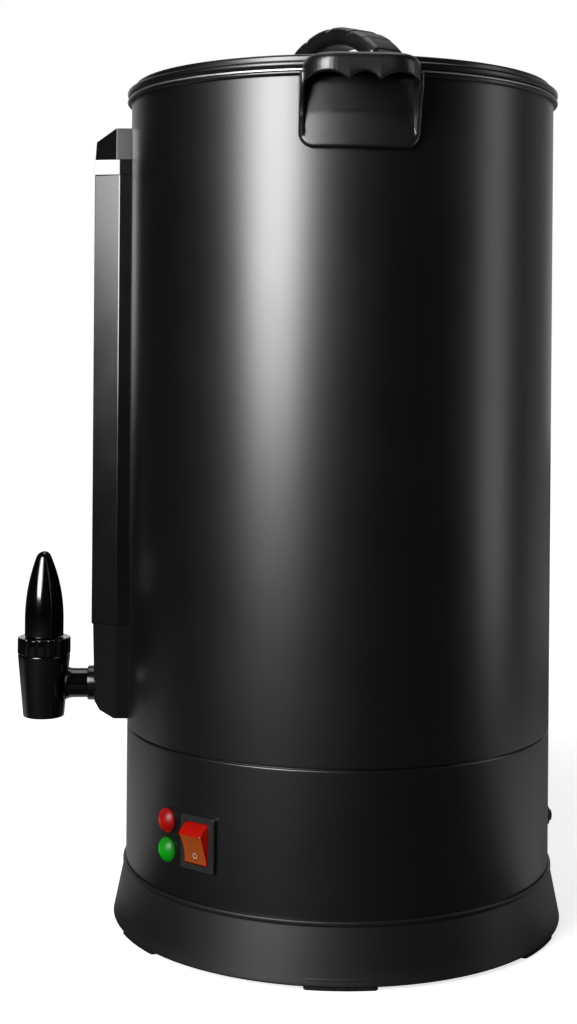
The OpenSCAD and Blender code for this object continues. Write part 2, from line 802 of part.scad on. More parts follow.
// A stretch of the gauge between two heights that narrows from one end to the other
module gauge_taper(z0, inset0, z1, inset1) {
    skin = 0.01;
    hull() {
        translate([0, 0, z0]) linear_extrude(skin) gauge_plan(inset0, gauge_back);
        translate([0, 0, z1 - skin]) linear_extrude(skin) gauge_plan(inset1, gauge_back);
    }
}

module gauge_cap() color(black_plastic) rotate([0, 0, tap_a]) difference() {
    intersection() {
        union() {
            translate([0, 0, cap_low]) linear_extrude(cap_crease - cap_low) gauge_plan(0, gauge_back);
            gauge_taper(cap_crease, 0, cap_top, gauge_draft);
        }
        across_y(4 * gauge_half) polygon([
            [gauge_back - bite, cap_low], [gauge_nose, cap_low], [gauge_nose, cap_top - cap_chamfer],
            [body_r + gauge_side, cap_top], [gauge_back - bite, cap_top]
        ]);
    }
    cylinder(r = body_r + fit, h = cap_top + bite, $fn = drum_fn);
    translate([tube_at, 0, cap_low - bite]) cylinder(r = socket_r, h = seal_h + 2 * bite);
    translate([0, 0, stud_z]) rod(stud_r + bore_fit, 0, tube_at);
}

module gauge_block() color(black_plastic) rotate([0, 0, tap_a]) difference() {
    union() {
        intersection() {
            union() {
                gauge_taper(block_crease, block_inset + block_draft, block_top, block_inset);
                gauge_taper(gauge_low, block_inset + gauge_draft, block_crease, block_inset + block_draft);
            }
            across_y(4 * gauge_half) polygon([
                [gauge_back - bite, gauge_low], [body_r + gauge_side + gauge_draft, gauge_low],
                [block_nose - toe_low, gauge_low + toe_low], [block_nose, gauge_low + toe_high],
                [block_nose, block_top], [gauge_back - bite, block_top]
            ]);
        }
        translate([0, 0, tap_z]) rod(collar_r - bite, body_r + gauge_side, gauge_nose + flare_len / 2);
    }
    cylinder(r = body_r + fit, h = rim_z, $fn = drum_fn);
    translate([0, 0, tap_z]) rod(shank_r + fit, 0, tap_at);
    translate([0, 0, tap_z]) rod(collar_r + fit, 0, body_r + fit + gasket_t);
    translate([tube_at, 0, block_top - seal_h - bite]) cylinder(r = socket_r, h = seal_h + 2 * bite);
    translate([tube_at, 0, tap_z]) cylinder(r = tube_bore, h = block_top - tap_z);
}

// The guard round the tube: a channel open at the back, with a viewing slot down its front
module gauge_guard() color(black_plastic) rotate([0, 0, tap_a]) difference() {
    translate([0, 0, block_top]) linear_extrude(cap_low - block_top) difference() {
        gauge_plan(0, gauge_back);
        gauge_plan(guard_wall, 0);
    }
    cylinder(r = body_r + fit, h = rim_z, $fn = drum_fn);
    translate([tube_at, -window_w / 2, block_top + window_end])
        cube([gauge_out, window_w, cap_low - block_top - 2 * window_end]);
}

module sight_tube() color([0.8, 0.9, 0.9, 0.4]) place(tap_a, tube_at, block_top - seal_h) difference() {
    tube_len = cap_low - block_top + 2 * seal_h;
    cylinder(r = tube_r, h = tube_len);
    translate([0, 0, -bite]) cylinder(r = tube_bore, h = tube_len + 2 * bite);
}

module tube_seals() color(silicone) for (z = [block_top - seal_h, cap_low])
    place(tap_a, tube_at, z) difference() {
        cylinder(r = tube_r + seal_t, h = seal_h);
        translate([0, 0, -bite]) cylinder(r = tube_r + bore_fit, h = seal_h + 2 * bite);
    }

module cap_stud() color(steel) place(tap_a, 0, stud_z)
    washer(stud_r, stud_bore, stud_seat - gasket_t - 1.5 * nut_t, tube_at - socket_r - fit);

module cap_gasket() color(silicone) place(tap_a, 0, stud_z)
    washer(2 * stud_r, stud_r + bore_fit, stud_seat - gasket_t, stud_seat);

module cap_nut() color(steel) place(tap_a, 0, stud_z)
    hex_nut(stud_nut_af, stud_r + bore_fit, stud_seat - gasket_t - nut_t, stud_seat - gasket_t);

// Places its children at the crossing of the tap's shank and its own axis
module at_tap() place(tap_a, tap_at, tap_z) children();

// The tap's body: a chamber with a raised seat over the outlet, on a shank with a feed to the tube
module tap_body() color(gloss_black) at_tap() difference() {
    union() {
        rotate_extrude() polygon([
            [0, -tap_low], [tap_low_r - edge, -tap_low], [tap_low_r, edge - tap_low], [tap_top_r, tap_high],
            [neck_r, tap_high], [neck_r, neck_top], [0, neck_top]
        ]);
        rod(shank_r, shank_end - tap_at, 0);
        translate([-tap_top_r - flare_len / 2, 0, 0]) rotate([0, 90, 0])
            cylinder(r1 = shank_r, r2 = shank_r + flare_out, h = flare_len);
    }
    translate([0, 0, seat_z]) rotate_extrude() difference() {
        square([chamber_r, neck_top - seat_z + bite]);
        square([outlet_r + seat_lip, seat_lip]);
    }
    translate([0, 0, -tap_low]) cylinder(r = outlet_r, h = tap_low + tap_high);
    translate([0, 0, -tap_low - bite]) cylinder(r = outlet_rim, h = tap_low + outlet_floor + bite);
    rod(shank_bore, shank_end - tap_at - bite, -chamber_r / 2);
    translate([tube_at - tap_at, 0, 0]) cylinder(r = tube_bore - 1, h = shank_r + bite);
}

module tap_bonnet() color(gloss_black) at_tap() difference() {
    rotate_extrude() polygon([
        [bonnet_hole, neck_top], [neck_r + bore_fit, neck_top], [neck_r + bore_fit, tap_high],
        [bonnet_r - bonnet_edge, tap_high], [bonnet_r, tap_high + bonnet_edge],
        [bonnet_r, bonnet_top - bonnet_edge], [bonnet_r - bonnet_edge, bonnet_top], [bonnet_hole, bonnet_top]
    ]);
    for (i = [0 : flute_count - 1]) rotate([0, 0, i * 360 / flute_count])
        translate([bonnet_r + flute_r / 2, 0, tap_high - bite])
            cylinder(r = flute_r, h = bonnet_h + 2 * bite);
}

// The stem: a rod with an eye for the pin, cut flat where it runs between the fork's arms
module tap_stem() color(steel) at_tap() difference() {
    union() {
        translate([0, 0, stem_low]) cylinder(r = stem_r, h = pin_z - stem_low);
        translate([0, 0, pin_z]) pin_y(pin_r + eye_wall, 2 * eye_half);
    }
    translate([0, 0, pin_z]) pin_y(pin_r + bore_fit, 4 * fork_out);
    for (y = [-1, 1]) translate([0, y * (eye_half + stem_r), pin_z])
        cube([4 * stem_r, 2 * stem_r, 4 * stem_r], center = true);
}

module tap_pin() color(steel) at_tap() translate([0, 0, pin_z]) pin_y(pin_r, 2 * fork_out);

module seat_cup() color(silicone) at_tap() translate([0, 0, seat_top + rest_gap]) difference() {
    rotate_extrude() polygon([
        [0, 0], [cup_r - edge, 0], [cup_r, edge], [cup_r, cup_side], [stem_r + 2, cup_h], [0, cup_h]
    ]);
    translate([0, 0, stem_low - seat_top - rest_gap - fit]) cylinder(r = stem_r + bore_fit, h = cup_h);
}

// Points on the lever's outline: up its long curve, behind one of its flats, and round its nose
function sweep_point(rise) = [sqrt(lever_sweep * lever_sweep - rise * rise) - sweep_in, lever_belt + rise];
function flat_point(rise) = [lever_flat - sweep_point(rise)[0], lever_belt + rise];
function nose_point(a) = [nose_r * cos(a), lever_tip - nose_r + nose_r * sin(a)];

// What one flat leaves: everything in front of strips that follow the lever's long curve
module lever_side() across_y(4 * lever_r) polygon(concat(
    [[2 * lever_r, lever_tip + bite], [2 * lever_r, lever_z - bite], [lever_flat - lever_r, lever_z - bite]],
    [for (i = [1 : flat_steps]) flat_point((lever_h - lever_foot + bite) * (i - 0.6) / (flat_steps - 0.6))]
));

// The fork under the lever, with the slot that the lift pin runs along
module lever_fork() difference() {
    translate([-fork_back, -fork_out, fork_low])
        cube([pin_run + pin_r + fork_back + eye_wall, 2 * fork_out, lever_z + bite - fork_low]);
    translate([-lever_r, -fork_in, fork_low - bite])
        cube([2 * lever_r, 2 * fork_in, lever_z - fork_low]);
    for (x = [-swing, pin_run + swing]) translate([x, 0, pin_z]) pin_y(pin_slot, 3 * fork_out);
    translate([-swing, -2 * fork_out, pin_z - pin_slot])
        cube([pin_run + 2 * swing, 4 * fork_out, 2 * pin_slot]);
}

// The lever: a round foot that sweeps up to a nose, with two flats on the side facing the drum
module tap_lever() color(gloss_black) at_tap() {
    intersection() {
        rotate_extrude() polygon(concat(
            [[0, lever_z], [lever_r, lever_z]],
            [for (i = [0 : sweep_steps]) sweep_point(nose_join * i / sweep_steps)],
            [for (i = [1 : nose_steps]) nose_point(nose_a + (90 - nose_a) * i / nose_steps)]
        ));
        rotate([0, 0, flat_turn]) lever_side();
        rotate([0, 0, -flat_turn]) lever_side();
    }
    lever_fork();
}

module tap_gaskets() color(silicone) place(tap_a, 0, tap_z) {
    washer(collar_r, shank_r + bore_fit, body_r + fit, body_r + fit + gasket_t);
    washer(collar_r, shank_r + bore_fit, tap_seat - gasket_t, tap_seat);
}

module tap_spacer() color(black_plastic) place(tap_a, 0, tap_z)
    washer(collar_r, shank_r + bore_fit, tank_r + fit,
        sqrt(pow(body_r - sheet, 2) - collar_r * collar_r) - fit);

module tap_nut() color(black_plastic) place(tap_a, 0, tap_z)
    hex_nut(tap_nut_af, shank_r + bore_fit, tap_seat - gasket_t - tap_nut_t, tap_seat - gasket_t);

// Places its children on the plinth where the switch is
module at_switch() place(switch_a, body_r, switch_z) children();

module switch_housing() color(gloss_black) at_switch() difference() {
    union() {
        along_x(fit, bezel_t) rounded(bezel_w, bezel_h, bezel_corner);
        along_x(-switch_depth, 2 * fit)
            rounded(switch_w - 2 * fit, switch_h - 2 * fit, switch_corner);
    }
    translate([-pivot_in - 0.7 * rocker_r, -rocker_w / 2 - rocker_gap, -rocker_r - rocker_gap])
        cube([2 * switch_depth, rocker_w + 2 * rocker_gap, 2 * (rocker_r + rocker_gap)]);
    translate([-pivot_in, 0, 0]) pin_y(trunnion_r + bore_fit, rocker_w + 2 * trunnion_len);
}

module switch_terminals() color(steel) at_switch() for (y = [-blade_y, blade_y], z = [-blade_z, blade_z])
    translate([-switch_depth - blade_len, y - blade_t / 2, z - blade_w / 2])
        cube([blade_len, blade_t, blade_w]);

// The rocker from its side: round ends about the pivot and a hollow front face
module rocker_outline() {
    face = rocker_r * cos(rocker_half);
    difference() {
        intersection() {
            circle(rocker_r, $fn = drum_fn);
            translate([-rocker_back, -rocker_r]) square([face + rocker_back, 2 * rocker_r]);
        }
        translate([face - rocker_dip + rocker_hollow, 0]) circle(rocker_hollow, $fn = dome_fn);
    }
}

module rocker() color([0.75, 0.05, 0.03]) at_switch() translate([-pivot_in, 0, 0]) {
    across_y(rocker_w) rotate(-rocker_tilt) rocker_outline();
    pin_y(trunnion_r, rocker_w + 2 * trunnion_len - 2 * fit);
}

// A panel lamp at the plinth's face: flange, lens dome and threaded stem
module panel_lamp() {
    crown = lamp_dome - lamp_flange;
    ball = (lamp_d * lamp_d / 4 + crown * crown) / (2 * crown);
    translate([fit, 0, 0]) turned() {
        square([lamp_d / 2, lamp_flange]);
        intersection() {
            translate([0, lamp_dome - ball]) circle(ball, $fn = drum_fn);
            translate([0, lamp_flange / 2]) square([lamp_d / 2, lamp_dome]);
        }
    }
    rod(lamp_stem, -lamp_len, fit + lamp_flange / 2);
}

module red_lamp() color([0.85, 0.05, 0.05]) place(lamp_a, body_r, red_z) panel_lamp();

module green_lamp() color([0.05, 0.75, 0.15]) place(lamp_a, body_r, green_z) panel_lamp();

module lamp_nuts() color(black_plastic) for (z = [red_z, green_z])
    place(lamp_a, body_r, z) hex_nut(lamp_nut_af, lamp_stem + bore_fit, nut_face - lamp_nut_t, nut_face);

module reset_collar() color(black_plastic) place(rear_a, body_r, reset_z) difference() {
    translate([fit, 0, 0]) turned() polygon([
        [button_r + fit, 0], [reset_d / 2, 0], [reset_d / 2, reset_h - reset_edge],
        [reset_d / 2 - reset_edge, reset_h], [button_r + fit, reset_h]
    ]);
    rod(bush_r + bore_fit, -bite, bush_end + fit);
}

module reset_button() color(gloss_black) place(rear_a, body_r, reset_z) turned() {
    translate([0, -button_in]) square([button_r, button_in + reset_out - 2]);
    intersection() {
        translate([0, reset_out - button_ball]) circle(button_ball);
        translate([0, reset_out - 3]) square([button_r, 3]);
    }
    translate([0, -button_in]) square([button_r + button_rim, button_rim_t]);
}

// The cut-out behind the button: a box with a bush that passes the plinth's wall
module thermal_cutout() color(pale_plastic) place(rear_a, body_r, reset_z) difference() {
    union() {
        translate([-cutout_depth, -cutout_w / 2, -cutout_h / 2])
            cube([cutout_depth + nut_face, cutout_w, cutout_h]);
        rod(bush_r, nut_face - bite, bush_end);
    }
    rod(button_r + fit, -3 * button_in, 2 * button_in);
    rod(button_r + button_rim + swing, -button_in - reset_travel - bite, button_rim_t + swing - button_in);
}

// The gland: its outer end grips the cord, and its stem is wider inside to leave the wires room
module cord_gland() color(black_plastic) place(gland_a, body_r, gland_z) difference() {
    translate([fit, 0, 0]) turned() polygon([
        [0, -gland_len], [gland_stem, -gland_len], [gland_stem, 0], [gland_r + gland_flange, 0],
        [gland_r + gland_flange, gland_flange_t], [gland_r, gland_flange_t], [gland_r, gland_step],
        [gland_mouth, gland_len], [0, gland_len]
    ]);
    rod(cord_d / 2, -2 * gland_len, 2 * gland_len);
    rod(gland_hollow, -2 * gland_len, fit + gland_len - gland_grip);
}

module gland_nut() color(black_plastic) place(gland_a, body_r, gland_z)
    hex_nut(gland_nut_af, gland_stem + bore_fit, nut_face - gland_nut_t, nut_face);

module heat_spreader() color(steel) difference() {
    translate([0, 0, spreader_z]) cylinder(r = spreader_r, h = spreader_t);
    translate([0, 0, element_z]) rotate_extrude() translate([element_ring, 0]) circle(element_r + fit);
    translate([0, 0, spreader_z - bite]) cylinder(r = tie_r + fit, h = spreader_t + 2 * bite);
}

// The element: most of a ring, with two cold ends below it
module heating_element() color(steel) {
    translate([0, 0, element_z]) rotate([0, 0, element_turn + element_open / 2])
        rotate_extrude(angle = 360 - element_open) translate([element_ring, 0]) circle(element_r);
    for (s = [-0.5, 0.5]) place(element_turn + s * element_open, element_ring, spreader_z - swing - post_h) {
        cylinder(r = post_r, h = post_h);
        translate([0, 0, -post_pin_h]) cylinder(r = post_pin_r, h = post_pin_h + bite);
    }
}

module element_clamp() color(steel) difference() {
    union() {
        translate([0, 0, clamp_z]) cylinder(r = clamp_hub, h = clamp_t);
        for (i = [0 : clamp_arms - 1]) rotate([0, 0, i * 360 / clamp_arms])
            translate([0, -clamp_w / 2, clamp_z]) cube([element_ring + 2 * element_r, clamp_w, clamp_t]);
    }
    translate([0, 0, clamp_z - bite]) cylinder(r = tie_r + fit, h = clamp_t + 2 * bite);
}

module clamp_nut() color(steel) translate([0, 0, clamp_z]) rotate([0, 90, 0])
    hex_nut(clamp_nut_af, tie_r + bore_fit, 0, clamp_nut_t);

// A snap-disc thermostat under the heat spreader, with its two blades
module disc_thermostat() translate([0, 0, spreader_z]) {
    translate([0, 0, -stat_h]) cylinder(r = stat_r, h = stat_h);
    for (y = [-blade_y, blade_y]) translate([-blade_w / 2, y - blade_t / 2, -stat_h - blade_len + bite])
        cube([blade_w, blade_t, blade_len]);
}

module boil_thermostat() color(pale_plastic) place(-element_turn, stat_at, 0) disc_thermostat();

module warm_thermostat() color(pale_plastic) place(left_a, stat_at, 0) disc_thermostat();

module terminal_block() color(pale_plastic) place(gland_a, strip_at, plate_top) difference() {
    translate([-strip_t / 2, -strip_w / 2, 0]) cube([strip_t, strip_w, strip_h]);
    for (i = [-1 : 1]) translate([0, i * strip_pitch, strip_hole_z])
        rod(strip_hole_r, -strip_t, strip_t);
}

base_skirt();
base_plate();
base_screws();
plinth_shell();
plinth_screws();
drum_shell();
inner_tank();
lid_shell();
lid_handle();
lid_screws();
right_handle();
left_handle();
handle_screws();
gauge_cap();
gauge_guard();
gauge_block();
sight_tube();
tube_seals();
cap_stud();
cap_gasket();
cap_nut();
tap_body();
tap_bonnet();
tap_stem();
tap_pin();
seat_cup();
tap_lever();
tap_gaskets();
tap_spacer();
tap_nut();
switch_housing();
switch_terminals();
rocker();
red_lamp();
green_lamp();
lamp_nuts();
reset_collar();
reset_button();
thermal_cutout();
cord_gland();
gland_nut();
heat_spreader();
heating_element();
element_clamp();
clamp_nut();
boil_thermostat();
warm_thermostat();
terminal_block();
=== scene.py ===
# %% [markdown]
# A mulled wine urn, dressed for its picture.
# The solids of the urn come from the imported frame, where every piece already has its place and its joint.
# This lesson gives each piece that shows a finer surface, then a finish, and then lights the whole in a
# plain studio.

import math

import bmesh
import bpy
import numpy as np
from mathutils import Matrix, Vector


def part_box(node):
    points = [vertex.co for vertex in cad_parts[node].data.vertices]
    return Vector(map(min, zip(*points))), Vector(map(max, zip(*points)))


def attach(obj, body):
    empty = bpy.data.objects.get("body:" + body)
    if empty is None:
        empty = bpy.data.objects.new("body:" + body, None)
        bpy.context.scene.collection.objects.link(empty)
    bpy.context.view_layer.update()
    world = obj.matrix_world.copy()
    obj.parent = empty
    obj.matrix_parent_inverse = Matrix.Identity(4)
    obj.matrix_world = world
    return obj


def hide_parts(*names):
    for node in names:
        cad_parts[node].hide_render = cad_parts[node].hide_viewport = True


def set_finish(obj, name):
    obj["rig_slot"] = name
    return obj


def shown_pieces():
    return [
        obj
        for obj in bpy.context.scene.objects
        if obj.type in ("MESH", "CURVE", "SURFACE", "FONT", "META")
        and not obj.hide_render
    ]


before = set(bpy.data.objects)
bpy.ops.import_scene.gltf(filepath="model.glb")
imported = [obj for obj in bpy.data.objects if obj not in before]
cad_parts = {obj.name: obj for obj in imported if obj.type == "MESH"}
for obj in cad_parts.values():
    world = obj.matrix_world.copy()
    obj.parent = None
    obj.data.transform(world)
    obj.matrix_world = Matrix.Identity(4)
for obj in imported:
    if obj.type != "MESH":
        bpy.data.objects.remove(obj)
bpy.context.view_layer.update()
scene = bpy.context.scene

# %% [markdown]
# Surfaces in millimetres.
# Almost everything on an urn is turned, pressed or moulded, so most pieces are a closed outline carried
# along or round something. A grid of rings holds such a surface: each row is one ring. Points that meet
# at a pole are merged, and the signed volume tells which way the faces look. This is shorter and more
# exact than modelling by hand.

# %% Grids of rings
MM = 0.001
SAME = 1e-5


def heights(node):
    """The lowest and the highest z of a solid, in millimetres."""
    low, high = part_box(node)
    return low[2] / MM, high[2] / MM


def skin(grid, loop=False):
    """Points and faces of a grid of rings. Neighbouring rings are joined by quads, each ring closes on
    itself, and with loop the last ring joins the first. Without it, each end ring is closed by one flat
    face."""
    rows, around = grid.shape[:2]
    i, j = np.meshgrid(np.arange(rows if loop else rows - 1), np.arange(around), indexing="ij")
    up, on = (i + 1) % rows, (j + 1) % around
    quads = np.stack([i * around + j, i * around + on, up * around + on, up * around + j], -1).reshape(-1, 4)
    points = grid.reshape(-1, 3)
    keys = np.round(points / SAME).astype(np.int64)
    _, first, same = np.unique(keys, axis=0, return_index=True, return_inverse=True)
    faces = same.reshape(-1)[quads]
    apart = faces != np.roll(faces, -1, axis=1)
    listed = faces[apart.all(1)].tolist()
    listed += [row[keep].tolist() for row, keep in zip(faces[apart.sum(1) == 3], apart[apart.sum(1) == 3])]
    if not loop:
        ends = same.reshape(rows, around)[[0, -1]]
        listed += [end[::turn].tolist() for end, turn in zip(ends, (-1, 1)) if len(np.unique(end)) > 2]
    points = points[first]
    a, b, c, d = points[faces].transpose(1, 0, 2)
    middle = points.mean(0)
    volume = (np.cross(b - a, c - a) * (a - middle)).sum() + (np.cross(c - a, d - a) * (a - middle)).sum()
    return points, listed if volume > 0 else [face[::-1] for face in listed]


def make(name, skins, body, slot, nodes=(), crease=38.0, ease=0.0):
    """Joins skins into one piece that rides on a body, takes its finish from a slot and stands for CAD
    nodes. Edges that bend more than crease degrees stay crisp, and a Bevel eases them where ease gives
    its width in millimetres."""
    points, faces, start = [], [], 0
    for skin_points, skin_faces in skins:
        points.append(skin_points)
        faces += [[start + corner for corner in face] for face in skin_faces]
        start += len(skin_points)
    mesh = bpy.data.meshes.new(name)
    mesh.from_pydata((np.concatenate(points) * MM).tolist(), [], faces)
    mesh.shade_smooth()
    piece = bpy.data.objects.new(name, mesh)
    scene.collection.objects.link(piece)
    if ease:
        bevel = piece.modifiers.new("eased edges", "BEVEL")
        bevel.width = ease * MM
        bevel.segments = 3
        bevel.limit_method = "ANGLE"
        bevel.angle_limit = math.radians(crease / 2)
        bevel.harden_normals = True
    else:
        mesh.set_sharp_from_angle(angle=math.radians(crease))
    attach(piece, body)
    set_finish(piece, slot)
    if nodes:
        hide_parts(*nodes)
    print(f"{name}: {len(mesh.vertices)} points, {len(mesh.polygons)} faces")
    return piece


# %% [markdown]
# Outlines.
# Mouldings and pressings have rounded corners, because a sharp one neither fills nor wears well. A Bevel
# could round them afterwards. Rounding the outline first gives exact radii and evenly spaced points.


# %% Outlines and ways to carry them
def oblong(x0, y0, x1, y1):
    """The corners of a rectangle, anticlockwise from the lowest."""
    return [(x0, y0), (x1, y0), (x1, y1), (x0, y1)]


def eased(corners, radii, steps=6):
    """A closed outline with its corners rounded. A corner P between unit sides a and b becomes an arc of
    radius r about P + (a + b) / |a + b| * r / sin(half the angle), from the point where it touches one
    side to the other."""
    p = np.asarray(corners, float)
    r = np.maximum(np.broadcast_to(radii, len(p)).astype(float), 1e-3)
    a = np.roll(p, 1, 0) - p
    b = np.roll(p, -1, 0) - p
    a /= np.linalg.norm(a, axis=1, keepdims=True)
    b /= np.linalg.norm(b, axis=1, keepdims=True)
    half = np.arccos(np.clip((a * b).sum(1), -1, 1)) / 2
    centre = p + (a + b) / np.linalg.norm(a + b, axis=1, keepdims=True) * (r / np.sin(half))[:, None]
    start = p + a * (r / np.tan(half))[:, None] - centre
    end = p + b * (r / np.tan(half))[:, None] - centre
    bend = np.arctan2(start[:, 0] * end[:, 1] - start[:, 1] * end[:, 0], (start * end).sum(1))
    angle = np.arctan2(start[:, 1], start[:, 0])[:, None] + bend[:, None] * np.linspace(0, 1, steps + 1)
    return (centre[:, None] + r[:, None, None] * np.stack([np.cos(angle), np.sin(angle)], -1)).reshape(-1, 2)


def held(outline, near=1.0):
    """The same closed outline with two more points on each long straight run, at a small distance from
    its ends, so that smooth shading bends only at the rounded corners."""
    ahead = np.roll(outline, -1, 0) - outline
    length = np.maximum(np.linalg.norm(ahead, axis=1), 1e-6)
    share = np.stack([0 * length, near / length, 1 - near / length], -1)
    run = length > 6 * near
    return (outline[:, None] + ahead[:, None] * share[..., None])[np.stack([run | True, run, run], -1)]


def even(outline, count):
    """The same closed outline with count points at equal steps along its length."""
    closed = np.concatenate([outline, outline[:1]])
    along = np.concatenate([[0], np.cumsum(np.linalg.norm(np.diff(closed, axis=0), axis=1))])
    steps = np.linspace(0, along[-1], count, endpoint=False)
    return np.stack([np.interp(steps, along, closed[:, k]) for k in range(2)], -1)


def inset(outline, distance):
    """An outline that runs anticlockwise, with each point moved inwards along its normal by a
    distance."""
    ahead = np.roll(outline, -1, 0) - np.roll(outline, 1, 0)
    normal = np.stack([-ahead[:, 1], ahead[:, 0]], -1) / np.linalg.norm(ahead, axis=1, keepdims=True)
    return outline + normal * distance


def turned(profile, count=192):
    """Rings of a turned piece: point j of ring i is the profile's radius r_i at the angle 2 pi j / count,
    at z_i."""
    profile = np.asarray(profile, float)
    angle = np.arange(count) * 2 * math.pi / count
    r, z = profile[:, :1], profile[:, 1:]
    return np.stack([r * np.cos(angle), r * np.sin(angle), z + 0 * angle], -1)


def slab(outline, low, high, ease, steps=5):
    """Rings of an upright slab with eased rims: at the angle t of a rim the outline is inset by ease * (1
    - sin t) and stands ease * (1 - cos t) from the slab's end."""
    t = np.linspace(0, math.pi / 2, steps + 1)
    rise = np.concatenate([low + ease * (1 - np.cos(t)), (high - ease * (1 - np.cos(t)))[::-1]])
    shrink = np.concatenate([ease * (1 - np.sin(t)), (ease * (1 - np.sin(t)))[::-1]])
    rings = [np.column_stack([inset(outline, s), np.full(len(outline), z)]) for s, z in zip(shrink, rise)]
    return np.stack(rings)


def stand(points, angle, reach=0.0, height=0.0):
    """Moves points out along +X by reach and up by height, then turns them about the drum's axis by an
    angle in degrees."""
    c, s = math.cos(math.radians(angle)), math.sin(math.radians(angle))
    x, y = points[..., 0] + reach, points[..., 1]
    return np.stack([c * x - s * y, s * x + c * y, points[..., 2] + height], -1)


def outward(points):
    """Lays a piece that was made upright on its side, so that its +Z looks along +X."""
    return np.stack([points[..., 2], points[..., 1], -points[..., 0]], -1)


print("a square with eased corners has", len(eased(oblong(0, 0, 10, 10), 2)), "points")

# %% [markdown]
# The drum and its plinth.
# Both are sheet steel, rolled, seam welded and painted satin black, and the drum's rim is rolled to a
# bead. A cylinder with a Solidify would do for a start. A turned profile also gives the bead and a small
# round on each cut edge, in steps so fine that no flat breaks the long highlight.

# %% Turn the drum and the plinth
BODY_R = 150.0
SHEET, FIT, SEAM = 1.2, 0.15, 0.4
BEAD_OUT, BEAD_H = 3.1, 3.2
drum_low, drum_high = heights("drum_shell")
plinth_low, plinth_high = heights("plinth_shell")
seam_z = drum_low - SEAM
rim_z = drum_high - BEAD_H
bead_round = BEAD_H / 2 - 0.01
ROUND_STEPS = 288

drum_section = eased(
    [
        (BODY_R - SHEET, drum_low),
        (BODY_R, drum_low),
        (BODY_R, rim_z),
        (BODY_R + BEAD_OUT, rim_z),
        (BODY_R + BEAD_OUT, drum_high),
        (BODY_R - SHEET, drum_high),
    ],
    [0.3, 0.8, 0.3, bead_round, bead_round, 0.3],
    10,
)
drum_skin = skin(turned(held(drum_section), ROUND_STEPS), True)
make("drum", [drum_skin], "urn", "black_paint", ["drum_shell"])

LEDGE_W = 15
tongue_r = BODY_R - SHEET - FIT
ledge_r = BODY_R - LEDGE_W
plinth_top = seam_z - SEAM
plinth_section = eased(
    [
        (ledge_r, plinth_low),
        (BODY_R, plinth_low),
        (BODY_R, plinth_top),
        (tongue_r, plinth_top),
        (tongue_r, plinth_high),
        (tongue_r - SHEET, plinth_high),
        (tongue_r - SHEET, plinth_top - SHEET),
        (BODY_R - SHEET, plinth_top - SHEET),
        (BODY_R - SHEET, plinth_low + SHEET),
        (ledge_r, plinth_low + SHEET),
    ],
    [0.3, 0.4, 1.0, 0.2, 0.3, 0.3, 0.2, 0.2, 0.3, 0.3],
)
plinth_skin = skin(turned(held(plinth_section), ROUND_STEPS), True)
make("plinth", [plinth_skin], "urn", "black_paint", ["plinth_shell"])

# %% [markdown]
# The skirt and its feet.
# The skirt is moulded in black plastic: a flared wall with a raised lip that hides the plinth's edge, and
# six low feet. The wall is turned. A foot is a slab whose outline lies in the plane of arc length and
# radius, which is then bent round the skirt, so its ends follow the radius as a moulder would draw them.

# %% Turn the skirt and bend its feet
skirt_top = heights("base_skirt")[1]
SKIRT_R = BODY_R + 8.6
LIP_R, LIP_H, LIP_OUT = BODY_R + 2.0, 3.2, 0.8
SKIRT_WALL, LEDGE_T = 3.0, 3
FOOT_H = 2.5
lip_z = skirt_top - LIP_H
skirt_section = eased(
    [
        (SKIRT_R, FOOT_H),
        (LIP_R - LIP_OUT, lip_z),
        (LIP_R, lip_z),
        (LIP_R, skirt_top),
        (BODY_R + FIT, skirt_top),
        (BODY_R + FIT, plinth_low),
        (ledge_r, plinth_low),
        (ledge_r, plinth_low - LEDGE_T),
        (LIP_R - LIP_OUT - SKIRT_WALL, plinth_low - LEDGE_T),
        (SKIRT_R - SKIRT_WALL, FOOT_H),
    ],
    [0.9, 0.3, 0.6, 1.2, 0.4, 0.2, 0.5, 0.5, 0.6, 0.9],
)
FEET, FOOT_SPAN, FOOT_TURN = 6, 17.4, -3.0
FOOT_DEEP, FOOT_BACK, FOOT_ROOT, FOOT_EASE = 12.5, 0.8, 7.8, 0.9
foot_in, foot_out = SKIRT_R - FOOT_DEEP, SKIRT_R - FOOT_BACK
foot_half = math.radians(FOOT_SPAN / 2) * foot_out
foot_plan = eased(oblong(foot_in, -foot_half, foot_out, foot_half), 2.5, 6)
foot_r, arc, foot_h = np.moveaxis(slab(even(foot_plan, 120), 0.0, FOOT_ROOT, FOOT_EASE), -1, 0)
foot_ring = np.stack([foot_r * np.cos(arc / foot_out), foot_r * np.sin(arc / foot_out), foot_h], -1)
feet = [skin(stand(foot_ring, FOOT_TURN + 360 / FEET * k)) for k in range(FEET)]
skirt_skin = skin(turned(held(skirt_section), ROUND_STEPS), True)
make("skirt", [skirt_skin, *feet], "urn", "skirt_plastic", ["base_skirt"])

# %% [markdown]
# The lid.
# A spun lid: a low dome on a short upright edge, a bead round it and a collar that finds the tank. A
# slice of a sphere could stand in for it. One profile, from the top of the dome round the bead and back
# under it, also gives the sheet its thickness, and both its ends close on the axis.

# %% Turn the lid
lid_low, dome_top = heights("lid_shell")
LID_SHEET = 1.2
LID_BEAD = 5.2
DOME_RISE, DOME_STEP = 9.0, 4.0
SHOULDER = 2.0
dome_edge = dome_top - DOME_RISE
lid_z = dome_edge - DOME_STEP - LID_BEAD
lid_r = BODY_R + BEAD_OUT
dome_r = lid_r - LID_BEAD
dome_curve = (dome_r**2 + DOME_RISE**2) / (2 * DOME_RISE)
COLLAR_IN = 11.0
collar_r = BODY_R - COLLAR_IN


